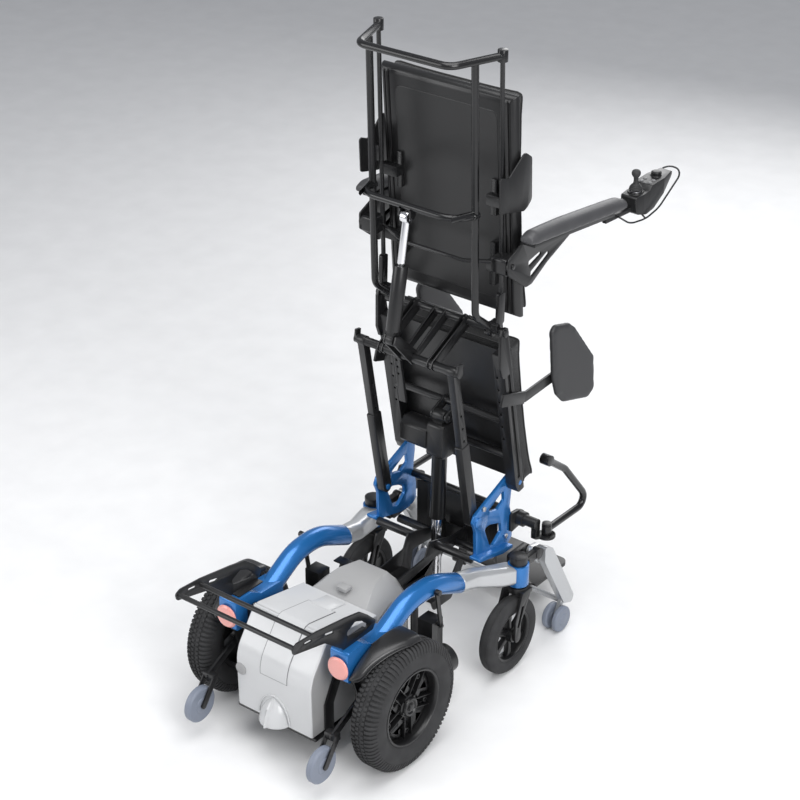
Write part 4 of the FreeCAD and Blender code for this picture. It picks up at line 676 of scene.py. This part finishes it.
def drive_rim(name, side):
    """Moulded rim: deep barrel, five domed petals between thin ribs, ringed lugs, bolted hub."""
    centre = at(side * WHEEL_X, 0, WHEEL_RADIUS)
    barrel = [(-29, 104), (29, 104), (31, 106), (33, 106.5), (34, 105), (33.4, 101), (30, 98.5),
              (22, 96.5), (4, 95), (-29, 93)]
    pieces = [drawn_out([(side * out, r) for out, r in barrel], centre, "X", 96, closed=True)]
    hub = [(-28, 30), (12, 32), (17, 31), (19, 27), (24, 26), (27, 24), (28, 19), (24.5, 16),
           (24.5, 11), (29, 9.5), (30, 7), (30.4, 2)]
    pieces.append(drawn_out([(side * out, r) for out, r in hub], centre, "X", 48))
    petal = [(38, -8), (48, -14), (62, -19.5), (78, -24), (96, -26.5), (97.5, -13), (98, 0),
             (97.5, 13), (96, 26.5), (78, 24), (62, 19.5), (48, 14), (38, 8)]
    outline = [on_wheel(centre, side * -2, *place) for place in petal]
    floor = plate_of(outline, Vector((side * 0.004, 0, 0)))
    edit(floor)
    for inset, rise in ((0.0045, 0.006), (0.006, 0.0035), (0.008, 0.0012)):
        pick(floor, "faces", lambda place, normal: normal.x * side > 0.9)
        ops.mesh.inset(thickness=inset, depth=0)
        ops.transform.translate(value=(side * rise, 0, 0))
    leave()
    smooth(floor, 50)
    parts = [floor]
    for hand in (-1, 1):
        parts.append(radial_bar(centre, (30, hand * 10), (97, hand * 27.6), 3.0,
                                side * -4, side * 17))
        parts.append(radial_bar(centre, (66, 36 + hand * 9), (97, 36 + hand * 2.5), 2.2,
                                side * -3, side * 6))
    ring = drawn_out([(side * out, r) for out, r in
                      ((-4, 7.5), (12, 7.5), (13, 6.6), (13, 4.2), (2, 4.0))],
                     on_wheel(centre, 0, 78, 36), "X", 20)
    bolt = drawn_out([(side * 17, 4.6), (side * 22.5, 4.6), (side * 23.5, 3.9)],
                     on_wheel(centre, 0, 27, 36), "X", 6)
    parts += [ring, bolt]
    sector = merge(parts)
    pieces.append(repeat_round(sector, centre, PETALS))
    rim = merge(pieces)
    smooth(rim, 38)
    return stand_in(rim, "drive_rim_cast_" + name, "drive_rim_" + name, rim_black)


CASTER_X = 250.0
CASTER_AXLE_Y = -494.0
CASTER_RADIUS = 112.0
CASTER_SPOKES = 6


def caster_wheel(name, side):
    """Front caster: tyre with two grooves on a rim of six waisted spokes."""
    centre = at(side * CASTER_X, CASTER_AXLE_Y, CASTER_RADIUS)
    half = [(16.2, 74), (18.2, 76), (20.6, 80), (21.8, 86), (22, 93), (21, 100.5), (18.2, 106.5),
            (14, 110), (9.4, 111.4), (8.6, 110.3), (7.4, 110.4), (6.6, 111.8)]
    rings = [(-out, radius) for out, radius in half] + half[::-1]
    tyre = drawn_out(rings, centre, "X", 96, closed=True)
    smooth(tyre, 32)
    stand_in(tyre, "caster_tyre_round_" + name, "caster_tyre_" + name, tyre_black)
    barrel = [(-16, 74), (16, 74), (17.6, 75.5), (18.4, 73), (16.5, 68.5), (11, 66), (-11, 66),
              (-16.5, 68.5), (-18.4, 73), (-17.6, 75.5)]
    pieces = [drawn_out(barrel, centre, "X", 80, closed=True)]
    hub = [(-24.6, 9), (-24.6, 12), (-22, 16.5), (-14, 18), (14, 18), (22, 16.5), (24.6, 12),
           (24.6, 9)]
    pieces.append(drawn_out(hub, centre, "X", 40))
    outline = [(14, -30), (30, -11), (46, -7.5), (60, -8.2), (68.5, -12), (68.5, 12), (60, 8.2),
               (46, 7.5), (30, 11), (14, 30)]
    spoke = plate_of([on_wheel(centre, -8, *place) for place in outline],
                     Vector((0.016, 0, 0)), 0.0016)
    pieces.append(repeat_round(spoke, centre, CASTER_SPOKES))
    rim = merge(pieces)
    smooth(rim, 38)
    return stand_in(rim, "caster_rim_spoked_" + name, "caster_rim_" + name, rim_black)


# Covers and mudguards

COVER_HALF = 125.0


def side_outline(points, x):
    """Places at one x from (y, z) pairs in the side view."""
    return [at(x, y, z) for y, z in points]


def rear_cover():
    """Glossy battery hood with a raised middle tongue, a hooded grip and a plug at its edge."""
    shape = [(-84, 101), (178, 101), (181, 268), (112, 364), (96, 372), (-84, 338)]
    hood = plate_of(side_outline(shape, -COVER_HALF), Vector((2 * COVER_HALF / 1000, 0, 0)),
                    corner=[0, 0, 0.03, 0.012, 0.012, 0])
    edit(hood)
    pick(hood, "faces", lambda place, normal: normal.z < -0.9 or normal.y < -0.95)
    ops.mesh.delete(type="FACE")
    leave()
    soften(hood, 0.005, 4, 40)
    modify(hood, "SOLIDIFY", thickness=0.0035, offset=-1.0)
    tongue_shape = [(-12, 346), (-12, 354.2), (96, 374.6), (113.6, 366.6), (183.4, 269),
                    (181.6, 232), (175, 232), (176, 262), (106, 358), (92, 366)]
    tongue_corners = [0, 0, 0.012, 0.012, 0.03, 0, 0, 0, 0, 0]
    tongue = plate_of(side_outline(tongue_shape, -46), Vector((0.088, 0, 0)),
                      corner=tongue_corners)
    soften(tongue, 0.0016, 3, 40)
    # Painted shadow: a slightly larger dark grey plate sits just behind and below the tongue, so its
    # edge shows as the shade of a groove round the tongue.
    groove_shade_strip = plate_of(side_outline(tongue_shape, -47.6), Vector((0.0912, 0, 0)),
                    corner=tongue_corners)
    groove_shade_strip.data.transform(Matrix.Translation((0, -0.0012, -0.0013)))
    frame_shape = [(-70, 341), (-70, 344.4), (-6, 356.2), (-6, 353)]
    handle = plate_of(side_outline(frame_shape, -34), Vector((0.064, 0, 0)), 0.0008)
    grip = drawn_out([(101, 47), (104, 47.5), (118, 45.5), (134, 40), (150, 31), (163, 20),
                      (171, 9), (174, 2)], at(0, 168, 0), "Z", 56)
    edit(grip, "VERT")
    pick(grip, "verts", lambda place, normal: abs(place.x) < 0.004 and
         place.y > AXLE_Y + 0.165)
    ops.transform.translate(value=(0, 0.007, 0))
    leave()
    brow = rod_along([at(52 * math.sin(t), 180, 101 + 78 * math.cos(t))
                      for t in [math.radians(a) for a in range(-84, 85, 12)]], 0.0022)
    for piece in (hood, tongue, handle, grip):
        smooth(piece, 36)
    finish_piece(groove_shade_strip, "rear_cover_seam", "rear_cover", seam_grey)
    cover = merge([hood, tongue, handle, grip, brow])
    stand_in(cover, "rear_cover_hood", "rear_cover", white)
    # Painted shade: the hood is white plastic all round, and the side faces at x = ±125 mm get the
    # pale grey plastic to stand in for the shade on its sides.
    cover.data.materials.append(pale_grey.material)
    for face in cover.data.polygons:
        if abs(face.normal.x) > 0.97 and abs(face.center.x) > 0.1205:
            face.material_index = 1
    plug = drawn_out([(-3, 17), (0.8, 17), (1.4, 15.8), (1.4, 4), (0.9, 2)],
                     at(109, 181, 216), "Y", 40)
    smooth(plug, 36)
    return finish_piece(plug, "rear_cover_plug", "rear_cover", pale_grey)


def fender(side):
    """Mudguard: a domed strip over the wheel, narrowing to a round tip behind, with a rolled lip."""
    section = [(220, 181), (220, 189), (222.5, 193.4), (229, 195.8), (243, 197), (262, 197),
               (279, 195.6), (289, 193), (295, 188.6), (298, 183)]
    inner, outer = section[0][0], section[-1][0]
    tip, front = math.radians(41), math.radians(106)
    steps = 26
    run_out = 0.14

    def edge(angle):
        """How far out the mudguard reaches at an angle round the wheel."""
        y = 190 * math.cos(angle)
        known = [(-80, 298), (-4, 298), (34, 284), (108, 256), (150, 247), (170, 244)]
        for (y0, x0), (y1, x1) in zip(known, known[1:]):
            if y <= y1:
                return x0 + (x1 - x0) * (y - y0) / (y1 - y0)
        return known[-1][1]

    points, faces = [], []
    for step in range(steps + 1):
        share = step / steps
        angle = tip + (front - tip) * share
        reach = (edge(angle) - inner) / (outer - inner)
        close = min(1.0, share / run_out)
        reach *= math.sqrt(max(0.02, 1 - (1 - close) ** 2))
        for x, radius in section:
            across = inner + (x - inner) * reach
            points.append(at(side * across, radius * math.cos(angle),
                             WHEEL_RADIUS + radius * math.sin(angle)))
    width = len(section)
    for step in range(steps):
        for i in range(width - 1):
            a = step * width + i
            faces.append((a, a + 1, a + width + 1, a + width))
    skin = new_piece("fender", points, faces=faces)
    edit(skin)
    ops.mesh.select_all(action="SELECT")
    ops.mesh.normals_make_consistent(inside=False)
    leave()
    if skin.data.polygons[width * 10 + 4].normal.z < 0:
        skin.data.flip_normals()
    modify(skin, "SOLIDIFY", thickness=0.003, offset=-1.0)
    modify(skin, "SUBSURF", levels=1, render_levels=1)
    smooth(skin, 50)
    rim = [points[step * width + width - 1] for step in range(steps + 1)]
    lip = rod_along(rim, 0.0019)
    stay = block(at(side * 212, 16, 334), at(side * 224, 56, 340))
    leg = block(at(side * 220, 16, 334), at(side * 224, 56, 366))
    for piece in (stay, leg):
        soften(piece, 0.0012)
    return merge([skin, lip, stay, leg])


# Upholstery


FRAMES_OF_FILLING = 20


def stuffed(node, voxel, reach, rest_at=None, rest_normal=None, shrink=0.004):
    """A pad swollen by its filling: remeshed, blown up as cloth, held to a reach, smoothed.

    Where the plane that it rests on is given, nothing passes that plane.
    """
    pad = copy_of(node)
    modify(pad, "DISPLACE", strength=-shrink, mid_level=0.0)
    modify(pad, "REMESH", mode="VOXEL", voxel_size=voxel)
    before = [vertex.co.copy() for vertex in pad.data.vertices]
    select_only(pad)
    cloth = pad.modifiers.new("filling", "CLOTH")
    cloth.settings.use_pressure = True
    cloth.settings.uniform_pressure_force = 4.0
    cloth.settings.quality = 5
    cloth.settings.effector_weights.gravity = 0.0
    cloth.collision_settings.use_collision = False
    for step in range(1, FRAMES_OF_FILLING + 1):
        scene.frame_set(step)
    ops.object.modifier_apply(modifier=cloth.name)
    scene.frame_set(1)
    for vertex, start in zip(pad.data.vertices, before):
        moved = vertex.co - start
        if moved.length > reach:
            vertex.co = start + moved.normalized() * reach
        if rest_at is not None:
            over = (vertex.co - rest_at).dot(rest_normal)
            if over > 0:
                vertex.co -= rest_normal * over
    modify(pad, "SMOOTH", factor=0.5, iterations=6)
    modify(pad, "SUBSURF", levels=1, render_levels=1)
    smooth(pad, 60)
    return pad


def piping(pad, corners, radius=0.0027, steps=14, turn=0.03):
    """A sewn piping all round a pad, laid on its surface."""
    path = []
    count = len(corners)
    for i, corner in enumerate(corners):
        before = (corners[i - 1] - corner).normalized() * turn
        after = (corners[(i + 1) % count] - corner).normalized() * turn
        for share in (0.0, 0.25, 0.5, 0.75, 1.0):
            path.append(corner + before * (1 - share) ** 2 + after * share ** 2)
        end = corners[(i + 1) % count] - after
        start = path[-1]
        path += [start.lerp(end, step / steps) for step in range(1, steps)]
    skin = BVHTree.FromObject(pad, bpy.context.evaluated_depsgraph_get())
    laid = []
    for place in path:
        found, normal = skin.find_nearest(place)[:2]
        laid.append(found + normal * radius * 0.35)
    return rod_along(laid, radius, closed=True, sides=3)


def seat_cushion():
    """Seat cushion with two piped seams, lying against its pan."""
    out = Vector((0, math.sin(SEAT_ANGLE), -math.cos(SEAT_ANGLE)))
    pad = stuffed("seat_cushion", 0.006, 0.009, seat(0, 0, -18.4), out)
    seams = []
    for depth in (-70, -27):
        seams.append(piping(pad, [seat(-206, -32, depth), seat(206, -32, depth),
                                  seat(206, 434, depth), seat(-206, 434, depth)]))
    cushion = merge([pad] + seams)
    stand_in(cushion, "seat_cushion_padded", "seat_cushion", cushion_black)
    along_seat = (seat(0, 1000, 0) - seat(0, 0, 0)).normalized()
    tuple(seat(0, -28, -50))
    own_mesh(cushion)
    return cushion


def back_cushion():
    """Back cushion, piped where its front face meets the sides, set into the shell."""
    out = Vector((0, math.cos(BACK_LEAN), -math.sin(BACK_LEAN)))
    pad = stuffed("back_cushion", 0.006, 0.009, back(0, 0, -24.4), out)
    length = 607.0
    seams = []
    for depth in (-55, -30):
        seams.append(piping(pad, [back(-210, -4, depth), back(210, -4, depth),
                                  back(210, length + 4, depth), back(-210, length + 4, depth)]))
    cushion = merge([pad] + seams)
    stand_in(cushion, "back_cushion_padded", "back_cushion", cushion_black)
    return cushion


def back_shell():
    """Moulded shell: rolled rear edges, two pressed lines by each long edge, a raised panel."""
    half, length, depth = 208.0, 607.5, 24.0
    corners = [back(-half, 0, -depth), back(half, 0, -depth), back(half, length, -depth),
               back(-half, length, -depth)]
    out = back(0, 0, 0) - back(0, 0, -depth)
    shell = plate_of(corners, out)
    rear = out.normalized()
    edit(shell, "EDGE")
    mesh = bmesh.from_edit_mesh(shell.data)
    middle = sum(corners, Vector()) / 4
    for edge in mesh.edges:
        ends = [(vertex.co - middle).dot(rear) for vertex in edge.verts]
        edge.select_set(min(ends) > 0.01)
    bmesh.update_edit_mesh(shell.data)
    ops.mesh.bevel(offset=0.02, segments=7, affect="EDGES")
    leave()
    for x in (-190, -177, 177, 190):
        low, high = x - 1.6, x + 1.6
        groove = plate_of([back(low, -20, -3.2), back(high, -20, -3.2),
                           back(high, -20, 6), back(low, -20, 6)],
                          back(0, length + 20, 0) - back(0, -20, 0))
        shell = carve(shell, groove)
    panel = plate_of([back(-158, 44, -2), back(158, 44, -2), back(158, length - 44, -2),
                      back(-158, length - 44, -2)], out / depth * 3.2, corner=0.02)
    soften(panel, 0.0018, 3)
    smooth(panel)
    soften(shell, 0.0008, 2, 40)
    smooth(shell, 40)
    shell = merge([shell, panel])
    return stand_in(shell, "back_shell_moulded", "back_shell", shell_black)


def arm_pad(name):
    """Long arm pad with soft, swollen sides."""
    pad = stuffed("arm_pad_" + name, 0.004, 0.002, shrink=0.0015)
    stand_in(pad, "arm_pad_padded_" + name, "arm_pad_" + name, pad_grey)


def side_pads():
    """Hip pads beside the seat."""
    pad = stuffed("side_pads", 0.004, 0.0025, shrink=0.001)
    stand_in(pad, "side_pads_padded", "side_pads", side_pad_skin)


# Castings and tubes


def cast_arms():
    """Front arms as smooth castings: their corners flow into each other."""
    arms = copy_of("front_arms")
    modify(arms, "REMESH", mode="VOXEL", voxel_size=0.003)
    modify(arms, "SMOOTH", factor=0.6, iterations=14)
    smooth(arms, 60)
    return stand_in(arms, "front_arms_cast", "front_arms", silver)


def back_cage():
    """Tube cage whose middle bar is bent in smooth arcs and has capped ends."""
    bar_z = at(0, 0, 1346).z
    bar_y = at(0, -366, 0).y
    bend_x, end_x = 0.139, 0.1505
    bend_slope = 60 / 22
    near_height, near_depth = 0.0092, 0.0135

    def on_bar(place, normal):
        if abs(place.x) > end_x or abs(place.z - bar_z) > near_height:
            return False
        front = bar_y - max(0.0, abs(place.x) - bend_x) * bend_slope
        return abs(place.y - front) < near_depth

    cage = copy_of("back_frame", on_bar)
    soften(cage, EDGE_BREAK)
    smooth(cage)
    bar = rod_along([at(-161, -434, 1340), at(-150, -367, 1346), at(150, -367, 1346),
                     at(161, -434, 1340)], 0.0088, bend=0.05, steps=9)
    caps = [drawn_out([(-11, 10.4), (9, 10.4), (11, 8.6)], at(x, -430, 1341), "Y", 28)
            for x in (-161, 161)]
    for cap in caps:
        smooth(cap)
    cage = merge([cage, bar] + caps)
    return stand_in(cage, "back_frame_tubes", "back_frame", black_gloss)


# Hand control

POD_X = -262
POD_TILT = 2


def pod(x, forward, rise):
    """Place on the control pod: forward of the stick, above its pivot."""
    tilt = math.radians(POD_TILT)
    return at(POD_X + x, -1007 - forward * math.cos(tilt) + rise * math.sin(tilt),
              1240 + forward * math.sin(tilt) + rise * math.cos(tilt))


def lean(piece, centre):
    """Tilts an upright piece to stand square on the pod."""
    turn = Matrix.Rotation(math.radians(-POD_TILT), 4, "X")
    piece.data.transform(Matrix.Translation(centre) @ turn @ Matrix.Translation(-centre))


def joystick():
    """Stick with a ribbed bellows, a waisted stem and a mushroom knob."""
    centre = pod(0, 0, 0)
    rings = [(9, 17.6), (11, 18), (12.6, 16.4), (13.4, 17.2), (15, 16.8), (16, 14.2),
             (17, 15), (18.6, 14.4), (19.6, 11.6), (20.6, 12.4), (22, 11.6), (23.4, 8.6),
             (25, 7.4), (34, 6.2), (42, 6.6), (46, 9.4), (50, 11.6), (55, 12.2), (59, 11.4),
             (62, 8.6), (63.4, 4), (63.6, 1)]
    stick = drawn_out(rings, centre, "Z", 40)
    lean(stick, centre)
    smooth(stick, 60)
    return stand_in(stick, "joystick_bellows", "joystick", stick_rubber)


def speed_dial():
    """Round knob with small ribs all round its side."""
    centre = pod(0, 100, 0)
    ribs = 18
    body = drawn_out([(14.5, 13), (22, 12.6), (24, 11.4), (24.6, 9.4), (24.4, 2)], centre,
                     "Z", 36)
    rib = block(centre + Vector((-0.0012, 0.0118, 0.0148)),
                centre + Vector((0.0012, 0.0139, 0.0225)))
    soften(rib, 0.0004, 1)
    edit(rib, "VERT")
    ops.mesh.select_all(action="SELECT")
    ops.mesh.spin(steps=ribs - 1, dupli=True, angle=2 * math.pi * (ribs - 1) / ribs, center=centre,
                  axis=(0, 0, 1))
    leave()
    knob = merge([body, rib])
    lean(knob, centre)
    smooth(knob, 40)
    return stand_in(knob, "speed_dial_ribbed", "speed_dial", dark_plastic)


def pod_keys():
    """Four round keys on the deck, between the stick and the dial."""
    keys = []
    for x in (-13, 13):
        for forward in (48, 66):
            key = drawn_out([(10, 5.6), (13.2, 5.4), (14.2, 4.4), (14.4, 1)],
                            pod(x, forward, 0), "Z", 24)
            lean(key, pod(x, forward, 0))
            smooth(key, 50)
            keys.append(key)
    return finish_piece(merge(keys), "pod_keys", "control_pod", key_grey)


BAIL = [(-12, -908, 1206), (-20, -956, 1172), (-34, -1010, 1172), (-38, -1066, 1186),
        (-38, -1168, 1248), (-12, -1190, 1256), (16, -1174, 1256), (16, -1150, 1250)]


def control_pod():
    """Pod housing with soft edges and its thin wire bail bent in smooth arcs."""
    wire = [at(POD_X + x, y, z) for x, y, z in BAIL]

    def on_wire(place, normal):
        for start, end in zip(wire, wire[1:]):
            run = end - start
            share = max(0.0, min(1.0, (place - start).dot(run) / run.length_squared))
            if (place - start - run * share).length < 0.0031:
                return True
        return False

    housing = copy_of("control_pod", on_wire)
    soften(housing, 0.0014, 3, 30)
    smooth(housing, 40)
    housing = merge([housing, rod_along(wire, 0.0024, bend=0.018, steps=7)])
    return stand_in(housing, "control_pod_housing", "control_pod", dark_plastic)


set_camera()
set_studio()

for name, side in SIDES.items():
    drive_tyre(name, side)
    drive_rim(name, side)
    caster_wheel(name, side)
    arm_pad(name)
mudguards = merge([fender(side) for side in SIDES.values()])
stand_in(mudguards, "fenders_domed", "fenders", fender_black)
rear_cover()
seat_cushion()
back_cushion()
back_shell()
side_pads()
cast_arms()
back_cage()
control_pod()
pod_keys()
joystick()
speed_dial()

# Nodes that keep the shape of their CAD solid
PLAIN = {
    black: ["cross_members", "centre_bracket", "battery_tray", "drive_motors",
            "luggage_rack", "anti_tip_arms", "side_pad_arms", "seat_frame", "hip_carrier",
            "link_frame", "caster_fork_left", "caster_fork_right", "footplate",
            "armrest_left", "armrest_right", "recline_body", "freewheel_lever_left",
            "freewheel_lever_right"],
    blue: ["side_frames", "caster_heads", "knee_brackets"],
    silver: ["leg_plates"],
    dark_plastic: ["lift_actuator", "calf_panel", "batteries"],
    shell_black: ["lateral_supports", "seat_pan"],
    black_gloss: ["knee_bar_left", "knee_bar_right"],
    roller_grey: ["anti_tip_wheel_left", "anti_tip_wheel_right", "support_wheel_left",
                  "support_wheel_right"],
    chrome: ["recline_rod", "lift_rod"],
    steel: ["chassis_bolts", "joystick_gimbal"],
    pale_grey: ["front_cover"],
    reflector_red: ["reflectors"],
}
for finish, names in PLAIN.items():
    for node in names:
        dress(node, finish)

ops.object.select_all(action="DESELECT")
ops.mesh.primitive_plane_add(size=14, location=(0, 0, -0.0005))
floor = bpy.context.object
floor.name = "studio_floor"
coat(floor, floor_white)
